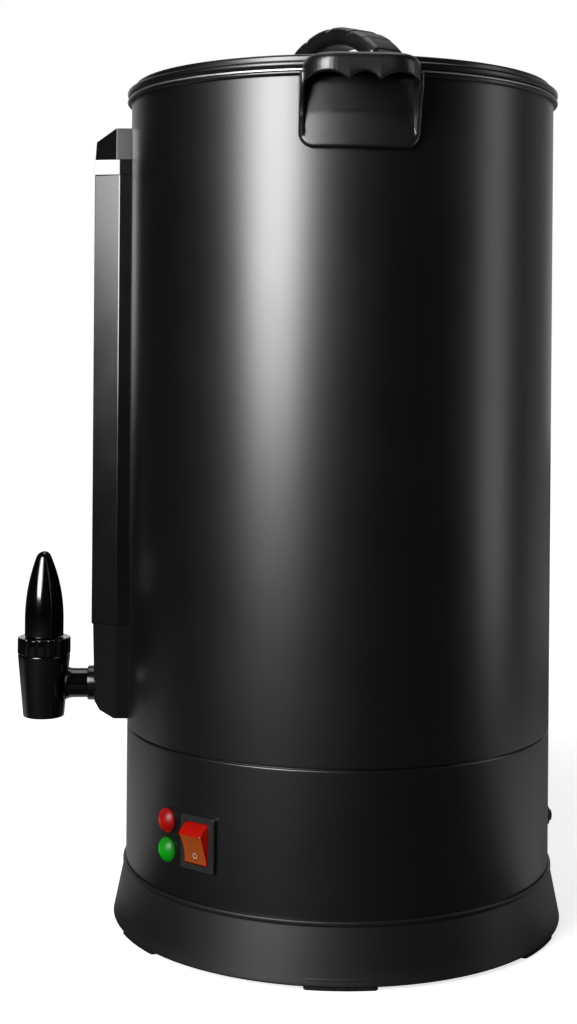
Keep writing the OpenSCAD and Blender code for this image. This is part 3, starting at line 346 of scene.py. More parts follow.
def dome_line(r0, r1, drop, steps=24):
    """Points of the dome from radius r0 to r1: z falls from the top by curve - sqrt(curve^2 - r^2), less
    a drop."""
    r = np.linspace(r0, r1, steps)
    return np.column_stack([r, dome_top - drop - dome_curve + np.sqrt(dome_curve**2 - r**2)])


slope = math.asin(dome_r / dome_curve)
shoulder_turn = np.linspace(math.pi / 2 - slope, 0, 10)
shoulder_z = dome_line(dome_r - SHOULDER, dome_r, 0, 2)[0, 1] - SHOULDER * math.cos(slope)
shoulder = np.column_stack(
    [dome_r - SHOULDER + SHOULDER * np.cos(shoulder_turn), shoulder_z + SHOULDER * np.sin(shoulder_turn)]
)
bead_turn = np.radians(np.linspace(150, -90, 25))
bead_r = LID_BEAD / 2
lid_bead = np.column_stack(
    [lid_r - bead_r + bead_r * np.cos(bead_turn), lid_z + bead_r + bead_r * np.sin(bead_turn)]
)
lid_profile = np.concatenate(
    [
        dome_line(0, dome_r - SHOULDER, 0),
        shoulder,
        [(dome_r, lid_z + 4.3), (dome_r + 0.2, lid_z + 3.8)],
        lid_bead,
        [(collar_r, lid_z), (collar_r, lid_low + 0.3), (collar_r - 0.3, lid_low)],
        [(collar_r - LID_SHEET, lid_low), (collar_r - LID_SHEET, lid_z + LID_SHEET)],
        [(dome_r - LID_SHEET, lid_z + LID_SHEET)],
        dome_line(dome_r - LID_SHEET, 0, LID_SHEET),
    ]
)
make("lid", [skin(turned(lid_profile, ROUND_STEPS))], "lid", "black_paint", ["lid_shell"])

# %% [markdown]
# The lid's grip.
# A moulded arch with lobes for the fingers. A curve with a bevel object would sweep it, but not dent it.
# Here a rounded rectangle is carried round a level axis. Its outer side dips in narrow grooves and swells
# a little between them, and the ends draw in to a soft rim. Two short feet carry it.

# %% Sweep the grip
grip_high = heights("lid_handle")[1]
GRIP_R, GRIP_T, GRIP_W, GRIP_CORNER = 73.5, 13.0, 30.0, 5.5
GRIP_TURN, GRIP_SPAN, GRIP_FOOT, GRIP_STEPS = 35.0, 46, 45.0, 181
GROOVE_PITCH, GROOVE_DEEP, GROOVE_WIDE, LOBE_DEEP = 26.0, 1.3, 1.7, 1.2
grip_axis = grip_high - GRIP_R
grip_plan = oblong(-GRIP_T / 2, -GRIP_W / 2, GRIP_T / 2, GRIP_W / 2)
grip_section = even(eased(grip_plan, GRIP_CORNER, 10), 96)
END_EASE = 3.0
grip_reach = math.radians(GRIP_SPAN) - END_EASE / GRIP_R
end_turn = np.linspace(0, math.pi / 2, 7)
sweep = np.concatenate(
    [
        -grip_reach - END_EASE / GRIP_R * np.cos(end_turn),
        np.linspace(-grip_reach, grip_reach, GRIP_STEPS)[1:-1],
        grip_reach + END_EASE / GRIP_R * np.cos(end_turn[::-1]),
    ]
)
rim_in = END_EASE * (1 - np.sin(end_turn))
draw_in = np.concatenate([rim_in, np.zeros(GRIP_STEPS - 2), rim_in[::-1]])
grip_rings = np.stack([inset(grip_section, d) for d in draw_in])
across = GRIP_R * np.sin(sweep)
from_groove = np.abs(across[:, None] - GROOVE_PITCH * np.arange(-1, 2)).min(1)
lobe = np.abs((across / GROOVE_PITCH) % 1 - 0.5)
groove = GROOVE_DEEP * np.exp(-((from_groove / GROOVE_WIDE) ** 2))
dip = groove + LOBE_DEEP * np.where(np.abs(across) < 1.5 * GROOVE_PITCH, lobe**2, 0.25)
outer_share = np.clip(grip_rings[..., 0] / (GRIP_T / 2) + 0.35, 0, 1)
bar = GRIP_R - GRIP_T / 2 + grip_rings[..., 0] - dip[:, None] * outer_share
grip_arch = np.stack(
    [bar * np.sin(sweep)[:, None], grip_rings[..., 1], grip_axis + bar * np.cos(sweep)[:, None]], -1
)
foot_z = dome_top - GRIP_FOOT**2 / (2 * dome_curve)
post = np.array([(0, 9), (10, 9), (10, 2.4), (10.4, 1), (11.2, 0.2), (11.2, -0.4), (0, -0.4)])
grip_foot = turned(post + (0, foot_z), 64)
grip_feet = [skin(stand(grip_foot + (s * GRIP_FOOT, 0, 0), GRIP_TURN)) for s in (-1, 1)]
make("lid_grip", [skin(stand(grip_arch, GRIP_TURN)), *grip_feet], "lid", "handle_plastic", ["lid_handle"])

# %% [markdown]
# The hoods of the carry handles.
# Each handle is one moulding: a hollow hood for the fingers, with three scallops in its lower edge, over
# a back plate. A box with a Bevel and a Boolean could give the hood, but its edges have several radii and
# its rim is wavy. So it is a stack of rings that runs down the inside of the wall, round the scalloped
# rim, up the outside and over the rounded top.

# %% Shape the hood
HOOD_W, HOOD_OUT, HOOD_H = 73.5, 36.0, 17.5
HOOD_WALL, HOOD_CORNER, HOOD_EDGE, HOOD_ROUND = 3.4, 20.0, 5.0, 7.0
HOOD_ROOF, HOOD_FILLET, HOOD_FLAT, TIGHT = 4.4, 2, 8.0, 0.8
SCALLOP_MID, SCALLOP_H = 19.0, 5.0
RIM_CLEAR = BEAD_OUT + 0.5
PLATE_T = 4.0


def on_drum(y, clear):
    """How far out from the plane that touches the drum a point at y stands, on a circle clear of the
    drum."""
    return np.sqrt((BODY_R + clear) ** 2 - y**2) - BODY_R


def hood_ring(w, out, back, corner, shrink, side):
    """The hood's outline from above, with round front corners. It shrinks by one amount at the front and
    by another at the sides, and hardly at the back, which follows the drum's curve."""
    half, out, back, corner = w / 2 - side, out - shrink, back + 0.15 * shrink, max(corner - shrink, TIGHT)
    ring = even(eased(oblong(back, -half, out, half), [0.6, corner, corner, 0.6], 12), 360)
    share = np.clip(1 - (ring[:, 0] - back) / (out - back), 0, 1)
    ring[:, 0] += share * (on_drum(ring[:, 1], RIM_CLEAR) - RIM_CLEAR)
    return ring


def scallop(y):
    """Rise of the hood's lower edge: a narrow arc of a circle between two wide ones, each SCALLOP_H high
    at its middle."""
    side = (HOOD_W - SCALLOP_MID) / 2
    middle = np.abs(y) < SCALLOP_MID / 2
    width = np.where(middle, SCALLOP_MID, side)
    off = np.where(middle, y, np.abs(y) - (SCALLOP_MID + side) / 2)
    radius = (width**2 / 4 + SCALLOP_H**2) / (2 * SCALLOP_H)
    return np.sqrt(radius**2 - off**2) - (radius - SCALLOP_H)


def drawn_in(z, r):
    """How far an edge rounded by r has drawn in at a height z, where the top is at 0: r - sqrt(r^2 - (z +
    r)^2)."""
    return r - math.sqrt(r**2 - min(max(z + r, 0), r) ** 2)


def level(ring, z):
    """A ring of plan points at a height, or at one height for each point."""
    return np.column_stack([ring, z + 0 * ring[:, 0]])


def hood():
    """Rings from the middle of the hollow's roof, down its wall, round the scalloped rim and over the
    top."""
    inner = [HOOD_W - 2 * HOOD_WALL, HOOD_OUT - HOOD_WALL, PLATE_T - 0.2, HOOD_CORNER - HOOD_WALL]
    outer = [HOOD_W, HOOD_OUT, RIM_CLEAR, HOOD_CORNER]
    t = np.linspace(0, math.pi / 2, 8)
    rings = [level(hood_ring(*inner, HOOD_FLAT, HOOD_FLAT), -HOOD_ROOF)]
    for a in t:
        corner = HOOD_FILLET * (1 - math.sin(a))
        rings.append(level(hood_ring(*inner, corner, corner), -HOOD_ROOF - HOOD_FILLET * (1 - math.cos(a))))
    low = hood_ring(*inner, 0.0, 0.0)
    high = hood_ring(*outer, 0.0, 0.0)
    for a in np.linspace(0, math.pi, 11):
        ring = low + (high - low) * ((1 - math.cos(a)) / 2)
        edge = -HOOD_H + scallop(ring[:, 1]) * np.clip((ring[:, 0] - PLATE_T) / 3, 0, 1)
        rings.append(level(ring, edge + HOOD_WALL / 2 * (1 - math.sin(a))))
    for z in HOOD_ROUND * (np.sin(np.linspace(0, math.pi / 2, 14)) - 1):
        rings.append(level(hood_ring(*outer, drawn_in(z, HOOD_EDGE), drawn_in(z, HOOD_ROUND)), z))
    rings += [level(hood_ring(*outer, HOOD_EDGE + more, HOOD_ROUND + more), 0.0) for more in (1.0, 6.0)]
    return np.stack(rings)


hood_rings = hood()
print("the hood has", len(hood_rings), "rings")

# %% [markdown]
# Their back plates.
# The plate lies on the drum, and raised cheeks at its sides run up to the hood. It could be sculpted. A
# height field over its outline is easier to set: cheeks rise where a point is near its side, and between
# them the plate leans out to the hood above a soft crease.

# %% Shape the plate and stand both handles
handle_z = heights("right_handle")[1]
PLATE_W, PLATE_H, PLATE_CORNER = 77.0, 55.0, 10.0
PLATE_SOFT, PLATE_FRONT = 2.2, 5.0
CHEEK_T, CHEEK_STEP, CHEEK_FADE, CHEEK_BLUR = 2.6, 1.6, 1.9, 3.5
CHEEK_LINE = [(-41, 0), (-36, 0.5), (-28, 3.5), (-20, 12), (-16, 13.5)]
LEAN_LINE = [(-34.5, 0), (-33, 0.15), (-16, 3.1)]
FLAT_LINE = [(-48, 0), (-36, 1)]
plate_head = rim_z - FIT - handle_z


def cheek(z):
    """How far a cheek stands out from the plate at a height below the handle's top: it falls away
    downwards, and the mean over a few millimetres softens its line."""
    steps = np.linspace(-CHEEK_BLUR, CHEEK_BLUR, 8)[:, None]
    return np.interp(z + steps, *np.transpose(CHEEK_LINE)).mean(0)


def lean(z):
    """How far the plate leans out towards the hood, above a soft crease."""
    return np.interp(z, *np.transpose(LEAN_LINE))


def plate_ring(shrink):
    """The plate's outline with round lower corners, all its sizes drawn in by shrink."""
    half, low, high = PLATE_W / 2 - shrink, shrink - PLATE_H, plate_head - shrink
    corner = max(PLATE_CORNER - shrink, TIGHT)
    return even(eased(oblong(-half, low, half, high), [corner, corner, TIGHT, TIGHT], 12), 420)


def plate():
    """Rings of the back plate, from its back on the drum round its side and over its front to the middle.
    The front bends with the drum, but less so at the cheeks."""
    t = np.linspace(0, math.pi / 2, 9)
    inner = [2.6, 2.9, 3.2, 3.6, 4.2, 5.0, 7.0, 12.0, 16.0, *np.arange(19.0, 24.0, 0.5)]
    shrink = np.concatenate([PLATE_SOFT * (1 - np.cos(t)), inner])
    drop = np.concatenate([PLATE_SOFT * (1 - np.sin(t)), np.zeros(len(inner))])
    back = plate_ring(0.0)
    rings = [np.column_stack([on_drum(back[:, 0], FIT), back])]
    for s, d in zip(shrink, drop):
        ring = plate_ring(s)
        y, z = ring.T
        near = np.clip((PLATE_W / 2 - CHEEK_T - CHEEK_STEP - np.abs(y)) / -CHEEK_FADE, 0, 1)
        near = near**2 * (3 - 2 * near)
        bend = on_drum(y, 0) * (1 - near * np.interp(z, *np.transpose(FLAT_LINE)))
        out = PLATE_FRONT - d + bend + (1 - near) * lean(z) + near * cheek(z)
        rings.append(np.column_stack([out, ring]))
    return np.stack(rings)


def carry_handle(name, angle, node):
    """One handle: hood and plate, standing at an angle round the drum."""
    skins = [skin(stand(rings, angle, BODY_R, handle_z)) for rings in (hood_rings, plate())]
    make(name, skins, "urn", "handle_plastic", [node])


carry_handle("near_handle", 0.0, "right_handle")
carry_handle("far_handle", 180.0, "left_handle")

# %% [markdown]
# The sight gauge.
# Its cap, its guard and its foot are moulded with flat faces and fine edges. The cap and the foot are
# stacks of six-sided rings with a Bevel on their edges. The guard has a slot down its front, so it is a
# merged copy of its own solid, with a Bevel too. The highlight on the slanted faces tells how blunt they
# are: the cap's collar and the guard mirror the key light, so they are blunter than the solid by a few
# millimetres, and the cap's head is not.

# %% Stack the gauge
cap_low, cap_high = heights("gauge_cap")
block_low, block_high = heights("gauge_block")
GAUGE_HALF, SOLID_FRONT = 20.0, 10.5
CAP_FRONT, GUARD_FRONT = 15.5, 12.4
HEAD_FRONT, HEAD_IN, HEAD_OUT = 9.4, 0.7, 2.2
GAUGE_SIDE, GAUGE_OUT, GAUGE_DRAFT = 7.5, 25.3, 1.6
COLLAR_H, SLOPE_H = 10.5, 9.0
BLOCK_INSET, BLOCK_DRAFT, TOE_H = 1.2, 1.0, 21.7
TAP_A, TAP_RISE = -90.0, 26
gauge_nose = BODY_R + GAUGE_OUT
gauge_shoulder = BODY_R + GAUGE_SIDE


def gauge_ring(z, shrink, front, blunt, wide=0.0, taper=0.0, shoulder=gauge_shoulder):
    """A six-sided ring: sides that taper to a shoulder, two slanted faces and a front that may be cut
    back to a nearer plane. Half the front is blunt, and wide moves the sides out."""
    half, front_half, nose = GAUGE_HALF - shrink + wide, blunt - shrink / 2 + wide, gauge_nose - shrink
    front = min(front, nose)
    bend = half - taper
    side = front_half + (nose - front) / (nose - shoulder) * (bend - front_half)
    back = BODY_R - SHEET
    x = [back, shoulder, front, front, shoulder, back]
    return np.column_stack([x, [-half, -bend, -side, side, bend, half], np.full(6, z)])


cap_crease = cap_low + COLLAR_H
cap_slope = cap_high - SLOPE_H
head_shoulder = gauge_shoulder + HEAD_OUT
head = (HEAD_FRONT, 0, HEAD_IN, head_shoulder)
mid_draft = GAUGE_DRAFT * (cap_slope - cap_crease) / (cap_high - cap_crease)
cap_rings = np.stack(
    [
        gauge_ring(cap_low, 0, gauge_nose, CAP_FRONT),
        gauge_ring(cap_crease, 0, gauge_nose, CAP_FRONT),
        gauge_ring(cap_crease + 0.3, 0.1, gauge_nose, *head),
        gauge_ring(cap_slope, mid_draft, gauge_nose, *head),
        gauge_ring(cap_high, GAUGE_DRAFT, head_shoulder + 0.4, *head),
    ]
)
make("gauge_top", [skin(stand(cap_rings, TAP_A))], "urn", "gauge_plastic", ["gauge_cap"], 24, 0.7)

tap_z = seam_z + TAP_RISE
block_nose = gauge_nose - BLOCK_INSET
toe = [(0.0, gauge_shoulder + GAUGE_DRAFT), (5.0, block_nose - 5), (11.0, block_nose), (TOE_H, block_nose)]
toe_in = [BLOCK_INSET + GAUGE_DRAFT + (BLOCK_DRAFT - GAUGE_DRAFT) * h / TOE_H for h, front in toe]
block_rings = [gauge_ring(block_low + h, s, front, GUARD_FRONT) for (h, front), s in zip(toe, toe_in)]
block_rings.append(gauge_ring(block_high, BLOCK_INSET, block_nose, GUARD_FRONT, BLOCK_INSET + 0.35))
collar = eased([(10.6, 10), (12.6, 10), (12.0, GAUGE_OUT + 3), (10.6, GAUGE_OUT + 3)], [0.2, 0.2, 0.9, 0.3])
collar_skin = skin(stand(outward(turned(collar, 96)), TAP_A, BODY_R, tap_z), True)
foot_skins = [skin(stand(np.stack(block_rings), TAP_A)), collar_skin]
make("gauge_foot", foot_skins, "urn", "gauge_plastic", ["gauge_block"], 24, 0.6)


def merged_copy(node):
    """A solid's points and faces in millimetres, with its doubles merged and its flat faces joined."""
    work = bmesh.new()
    work.from_mesh(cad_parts[node].data)
    bmesh.ops.remove_doubles(work, verts=work.verts, dist=2e-6)
    bmesh.ops.dissolve_limit(work, angle_limit=math.radians(0.5), verts=work.verts, edges=work.edges)
    work.verts.index_update()
    points = np.array([v.co for v in work.verts]) / MM
    faces = [[v.index for v in face.verts] for face in work.faces]
    work.free()
    return points, faces


SLOT_HALF, SHOULDER_PAST = 6, 2
guard_points, guard_faces = merged_copy("gauge_guard")
corner = (np.abs(guard_points[:, 0]) > SLOT_HALF) & (-guard_points[:, 1] > gauge_shoulder + SHOULDER_PAST)
guard_points[corner, 0] += np.sign(guard_points[corner, 0]) * (GUARD_FRONT - SOLID_FRONT)
make("gauge_guard_skin", [(guard_points, guard_faces)], "urn", "gauge_plastic", ["gauge_guard"], 24, 0.5)
print("corners of the guard spread:", int(corner.sum()))

# %% [markdown]
# The tap.
# Body and bonnet are glossy black mouldings. The body is turned, with a shank to the drum. Booleans could
# cut the bonnet's flutes, but they leave thin faces that shade badly. Instead its radius is the smaller
# of its profile and the arc that cuts each flute.

# %% Turn the tap
tap_low, tap_high = heights("tap_body")
TAP_AT = BODY_R + 59.5
LOW_R, TOP_R, NECK_R, CHAMBER_R = 14.4, 18.6, 14.7, 11.6
RECESS_R, OUTLET_R = 11.8, 6.5
SHANK_R, SHANK_BORE, SHANK_IN, SHANK_FLAT = 10.35, 6.0, 15, 13
TANK_R = BODY_R - 10
BONNET_R, BONNET_HOLE = 18.7, 9.7
FLUTES, FLUTE_R, FLUTE_STEPS = 16, 1.5, 16
bonnet_low, bonnet_high = heights("tap_bonnet")
barrel = eased(
    [
        (RECESS_R, tap_low),
        (LOW_R, tap_low),
        (TOP_R, bonnet_low),
        (NECK_R, bonnet_low),
        (NECK_R, tap_high),
        (CHAMBER_R, tap_high),
        (CHAMBER_R, tap_z - 7),
        (OUTLET_R, tap_z - 7),
        (OUTLET_R, tap_z - 12),
        (RECESS_R, tap_z - 12),
    ],
    [0.5, 1.0, 1.0, 0.2, 0.3, 0.3, 0.3, 0.4, 0.4, 0.5],
)
shank_end = math.sqrt(TANK_R**2 - SHANK_FLAT**2) - FIT - SHANK_IN
neck_turn = np.linspace(0, math.pi / 2, 10)
neck = np.column_stack([SHANK_R + 3.0 * (1 - np.cos(neck_turn)), TAP_AT - 22 + 7 * np.sin(neck_turn)])
shank = np.concatenate([[(SHANK_BORE, shank_end), (SHANK_R, shank_end)], neck, [(SHANK_BORE, TAP_AT - 14)]])
tap_skins = [
    skin(stand(turned(held(barrel), 160), TAP_A, TAP_AT), True),
    skin(stand(outward(turned(shank, 96)), TAP_A, 0, tap_z), True),
]
make("tap_barrel", tap_skins, "urn", "tap_plastic", ["tap_body"])

bonnet_plan = oblong(BONNET_HOLE, bonnet_low, BONNET_R, bonnet_high)
bonnet = eased(bonnet_plan, [0.3, 0.8, 1.0, 0.5], 8)
flute_points = FLUTE_STEPS * FLUTES
bonnet_rings = turned(bonnet, flute_points)
off_flute = (np.arange(flute_points) % FLUTE_STEPS - FLUTE_STEPS // 2) * 2 * math.pi / flute_points
flute_at = BONNET_R + FLUTE_R / 2
bite = np.maximum(FLUTE_R**2 - (flute_at * np.sin(off_flute)) ** 2, 0)
cut = np.where(bite > 0, flute_at * np.cos(off_flute) - np.sqrt(bite), BONNET_R)
bonnet_rings[..., :2] *= np.minimum(1, cut / bonnet[:, :1])[..., None]
bonnet_skin = skin(stand(bonnet_rings, TAP_A, TAP_AT), True)
make("tap_collar", [bonnet_skin], "urn", "tap_plastic", ["tap_bonnet"], 50)

# %% [markdown]
# The lever.
# A drop-shaped grip that tips away from the drum, with a fork below that lifts the stem. Two flats trim
# the side that faces the drum. Cut planes would leave hard edges, so the radius is a soft minimum of the
# profile and the flats, which gives their borders a small round.

# %% Shape the lever
lever_high = heights("tap_lever")[1]
LEVER_R, LEVER_H, LEVER_FOOT, SWEEP, HEEL = 13.8, 60.5, 12.2, 130.0, 0.8
FLAT, FLAT_TURN, SOFT = 1.9, 30.5, 0.35
PIN_DROP, PIN_R, FORK_WALL, FORK_EASE = 10.8, 1.5, 1.6, 0.4
LEVER_POINTS = 192
lever_z = lever_high - LEVER_H
belt = lever_z + LEVER_FOOT
gap = LEVER_H - LEVER_FOOT
sweep_in = SWEEP - LEVER_R
nose_r = (SWEEP**2 - sweep_in**2 - gap**2) / (2 * (SWEEP - gap))
join = gap - nose_r + nose_r * (gap - nose_r) / (SWEEP - nose_r)
nose_a = math.asin((gap - nose_r) / (SWEEP - nose_r))

heel = np.linspace(0, math.pi / 2, 6)
rise = np.linspace(0, join, 40)
nose = np.linspace(nose_a, math.pi / 2, 24)[1:]
lever_line = np.concatenate(
    [
        [(0.0, lever_z)],
        np.column_stack([LEVER_R - HEEL + HEEL * np.sin(heel), lever_z + HEEL - HEEL * np.cos(heel)]),
        [(LEVER_R, lever_z + 6)],
        np.column_stack([np.sqrt(SWEEP**2 - rise**2) - sweep_in, belt + rise]),
        np.column_stack([nose_r * np.cos(nose), lever_high - nose_r + nose_r * np.sin(nose)]),
    ]
)
lever_rings = turned(lever_line, LEVER_POINTS)
around = np.arange(LEVER_POINTS) * 2 * math.pi / LEVER_POINTS
flat_r = np.maximum(lever_line[:, :1] - FLAT * np.clip(lever_line[:, :1] / 6, 0, 1), 1e-4)
trim = np.full((len(lever_line), LEVER_POINTS), np.inf)
for s in (-1, 1):
    facing = np.maximum(np.cos(around - (math.pi + s * math.radians(FLAT_TURN))), 0.05)
    trim = np.minimum(trim, flat_r / facing)
own = lever_line[:, :1] + 0 * around
blend = np.clip(0.5 + (own - trim) / (2 * SOFT), 0, 1)
shaped = own + (trim - own) * blend - SOFT * blend * (1 - blend) * (own > 1)
lever_rings[..., :2] *= (shaped / np.maximum(own, 1e-6))[..., None]
fork_low = lever_z - PIN_DROP - PIN_R - FORK_WALL
arm_plan = eased(oblong(-3.7, 1.9, 7.0, 4.2), FORK_EASE, 3)
arm = slab(arm_plan, fork_low, lever_z + 1, FORK_EASE, 3)
twin = (arm * (1, -1, 1))[:, ::-1]
lever_skins = [skin(stand(rings, TAP_A, TAP_AT)) for rings in (lever_rings, arm, twin)]
make("tap_handle", lever_skins, "lever", "tap_plastic", ["tap_lever"], 45)

# %% [markdown]
# The switch.
# A lit rocker in a black frame. The frame is a merged copy of its solid with eased edges. The rocker's
# outline lies in the plane of outward and upward: round ends about the pivot and a hollow face. It
# becomes a slab across the switch. A point attribute marks the hollow face, whose colour is painted light:
# the dull orange-brown glow of the lamp behind it, below the bright red round end.

# %% Make the switch
SWITCH_A, SWITCH_Z = -40.4, 80.5
PIVOT_IN, ROCKER_R, ROCKER_W = 1.2, 13.4, 18.6
ROCKER_HALF, ROCKER_END, ROCKER_TILT, ROCKER_DIP = 49.0, 103, 18.0, 1.8
make("switch_frame", [merged_copy("switch_housing")], "urn", "switch_plastic", ["switch_housing"], 50, 0.5)

rocker_face = ROCKER_R * math.cos(math.radians(ROCKER_HALF))
face_half = ROCKER_R * math.sin(math.radians(ROCKER_HALF))


def rocker_front(v):
    """The hollow face: a wide arc that is ROCKER_DIP behind the chord at its middle and meets it at both
    ends."""
    return rocker_face - ROCKER_DIP * (1 - (v / face_half) ** 2)


def tilted(u, v):
    """Turns a point of the rocker's outline about its pivot, with the lower end pressed in."""
    t = math.radians(ROCKER_TILT)
    return math.cos(t) * u + math.sin(t) * v - PIVOT_IN, math.cos(t) * v - math.sin(t) * u


front_v = np.linspace(-face_half, face_half, 40)
round_turn = np.radians(np.linspace(ROCKER_HALF, ROCKER_END, 16))[1:]
end_u, end_v = ROCKER_R * np.cos(round_turn), ROCKER_R * np.sin(round_turn)
rocker_u = np.concatenate([rocker_front(front_v), end_u, end_u[::-1]])
rocker_v = np.concatenate([front_v, end_v, -end_v[::-1]])
rocker_outline = even(np.column_stack([rocker_u, rocker_v]), 200)
rocker_block = slab(rocker_outline, -ROCKER_W / 2, ROCKER_W / 2, 0.7)
out, up = tilted(rocker_block[..., 0], rocker_block[..., 1])
rocker_rings = np.stack([out, -rocker_block[..., 2], up], -1)
key_skin = skin(stand(rocker_rings, SWITCH_A, BODY_R, SWITCH_Z))
key = make("rocker_key", [key_skin], "rocker", "rocker_red", ["rocker"])


def on_rocker(u, v, w):
    """Puts points given on the rocker's face, out, up and across, into the urn's frame."""
    out, up = tilted(u, v)
    return stand(np.stack([out, w, up], -1), SWITCH_A, BODY_R, SWITCH_Z)


def face_ring(v0, radius, stroke, count=64):
    """A flat moulded mark: a ring of oval section on the hollow face, round the point at v0."""
    a = np.arange(count) * 2 * math.pi / count
    b = (np.arange(12) * 2 * math.pi / 12)[:, None]
    v = v0 + (radius + stroke * np.cos(b)) * np.sin(a)
    w = (radius + stroke * np.cos(b)) * np.cos(a)
    return on_rocker(rocker_front(v) + 0.12 + 0.16 * np.sin(b), v, w)


make("off_mark", [skin(face_ring(-5.2, 1.6, 0.22), True)], "rocker", "pale_plastic")


def off_rocker(points):
    """The way back: how far out, up and across the rocker's own frame points of the urn's frame stand."""
    flat = stand(points, -SWITCH_A)
    x, z = flat[:, 0] - BODY_R + PIVOT_IN, flat[:, 2] - SWITCH_Z
    t = math.radians(ROCKER_TILT)
    return math.cos(t) * x - math.sin(t) * z, math.sin(t) * x + math.cos(t) * z, flat[:, 1]


key_points = np.array([v.co for v in key.data.vertices]) / MM
key_u, key_v, key_w = off_rocker(key_points)
on_face = (np.abs(key_u - rocker_front(key_v)) < 0.1) & (np.abs(key_v) < face_half - 0.2)
on_face &= np.abs(key_w) < ROCKER_W / 2 - 0.2
key.data.attributes.new("face", "FLOAT", "POINT").data.foreach_set("value", on_face.astype(np.float32))
print("points on the rocker's face:", int(on_face.sum()))

# %% [markdown]
# The lamps, the reset button and the cord gland.
# Plain cylinders and domes would do at this size. Turned profiles cost no more and have true rounds. All
# are turned about a line that points straight out of the plinth: profile, turn, lay on its side, stand in
# place.


# %% Turn the small fittings
def mid_z(node):
    """The height of the middle of a solid, in millimetres."""
    return sum(heights(node)) / 2


def fitting(name, profile, angle, z, body, slot, node, loop=True, count=96):
    """Turns a profile about a line that points straight out of the plinth, at an angle and a height."""
    rings = stand(outward(turned(profile, count)), angle, BODY_R, z)
    make(name, [skin(rings, loop)], body, slot, [node])


LAMP_A, LAMP_R, LAMP_DOME, LAMP_FLANGE, LAMP_TAIL = -51.8, 8.0, 5.6, 1.4, 4.9
crown = LAMP_DOME - LAMP_FLANGE
ball = (LAMP_R**2 + crown**2) / (2 * crown)
lens_r = np.linspace(LAMP_R - 0.25, 0, 24)
lens_line = np.concatenate(
    [
        [(0, -16), (LAMP_TAIL, -16), (LAMP_TAIL, FIT)],
        [(LAMP_R - 0.2, FIT), (LAMP_R, 0.5), (LAMP_R, LAMP_FLANGE)],
        np.column_stack([lens_r, LAMP_DOME - ball + np.sqrt(ball**2 - lens_r**2) + FIT]),
    ]
)
for node, slot in (("red_lamp", "lens_red"), ("green_lamp", "lens_green")):
    fitting(node + "_lens", lens_line, LAMP_A, mid_z(node), "urn", slot, node, False)

RESET_A, RESET_R, RESET_H, RESET_HOLE = 90.0, 7.0, 3.35, 4.15
BUTTON_R, BUTTON_FLANGE = 4.0, 5.3
reset_z = mid_z("reset_collar")
ring_section = eased(oblong(RESET_HOLE, FIT, RESET_R, RESET_H), [0.1, 0.2, 1.3, 0.5])
fitting("reset_ring", ring_section, RESET_A, reset_z, "urn", "inner_plastic", "reset_collar")
dome_a = np.radians(np.linspace(53, 90, 12))
button_dome = np.column_stack([5 * np.cos(dome_a) * 4 / 3.01, 0.8 + 5 * np.sin(dome_a)])
button_foot = [(0, -5), (BUTTON_FLANGE, -5), (BUTTON_FLANGE, -3.5), (BUTTON_R, -3.5)]
button_line = np.concatenate([button_foot, button_dome])
widest = np.where(button_line[:, 1] < -3, BUTTON_FLANGE, BUTTON_R)
button_line[:, 0] = np.minimum(button_line[:, 0], widest)
fitting("reset_dome", button_line, RESET_A, reset_z, "reset", "tap_plastic", "reset_button", False, 72)

GLAND_A = 126.0
gland_back = [(5.2, -13.85), (7.9, -13.85), (7.9, 0.15), (11.5, 0.15), (11.5, 5.15)]
gland_cone = [(10.0, 5.15), (10.0, 10.15), (6.6, 14.15), (4.0, 14.15), (4.0, 1.15), (5.2, 1.15)]
gland_rounds = [0.3, 0.3, 0.2, 0.4, 0.8, 0.3, 1.0, 0.8, 0.4, 0.3, 0.3]
gland_section = eased(gland_back + gland_cone, gland_rounds)
fitting("gland", gland_section, GLAND_A, mid_z("cord_gland"), "urn", "inner_plastic", "cord_gland")

# %% [markdown]
# Wires.
# A finish is a small network of nodes. Writing it as arithmetic keeps it readable: a wire holds an output
# socket, and adding or multiplying wires lays Math nodes. One function lays any node, links the wires
# among its inputs and sets the plain values on the sockets themselves.


# %% A socket that arithmetic works on
def lay(tree, kind, inputs=None, out=0, **settings):
    """Lays a node of a kind, with settings on the node and values or wires on its inputs, and returns an
    output if it has one."""
    node = tree.nodes.new("ShaderNode" + kind)
    for name, value in settings.items():
        setattr(node, name, value)
    for name, value in (inputs or {}).items():
        if isinstance(value, Wire):
            tree.links.new(value.socket, node.inputs[name])
        else:
            node.inputs[name].default_value = value
    return Wire(tree, node.outputs[out]) if node.outputs else None


class Wire:
    """An output socket. Arithmetic with wires and plain numbers lays Math nodes in the socket's own
    tree."""

    def __init__(self, tree, socket):
        self.tree, self.socket = tree, socket

    def join(self, operation, first, second):
        return lay(self.tree, "Math", {0: first, 1: second}, operation=operation)

    def __add__(self, other):
        return self.join("ADD", self, other)

    def __radd__(self, other):
        return self.join("ADD", other, self)

    def __sub__(self, other):
        return self.join("SUBTRACT", self, other)

    def __rsub__(self, other):
        return self.join("SUBTRACT", other, self)

    def __mul__(self, other):
        return self.join("MULTIPLY", self, other)

    def __rmul__(self, other):
        return self.join("MULTIPLY", other, self)

    def __truediv__(self, other):
        return self.join("DIVIDE", self, other)

    def __rtruediv__(self, other):
        return self.join("DIVIDE", other, self)

    def top(self, other):
        return self.join("MAXIMUM", self, other)


# %% [markdown]
# What a finish is made of.
# Paint, plastic and metal are never quite even: colour, gloss and surface change a little from place to
# place. Pictures could show that, but they have to be unwrapped. Patterns on the Object coordinates need
# no unwrapping, and each finish ends in one Principled shader.

# %% What every finish is made of
finishes = {}


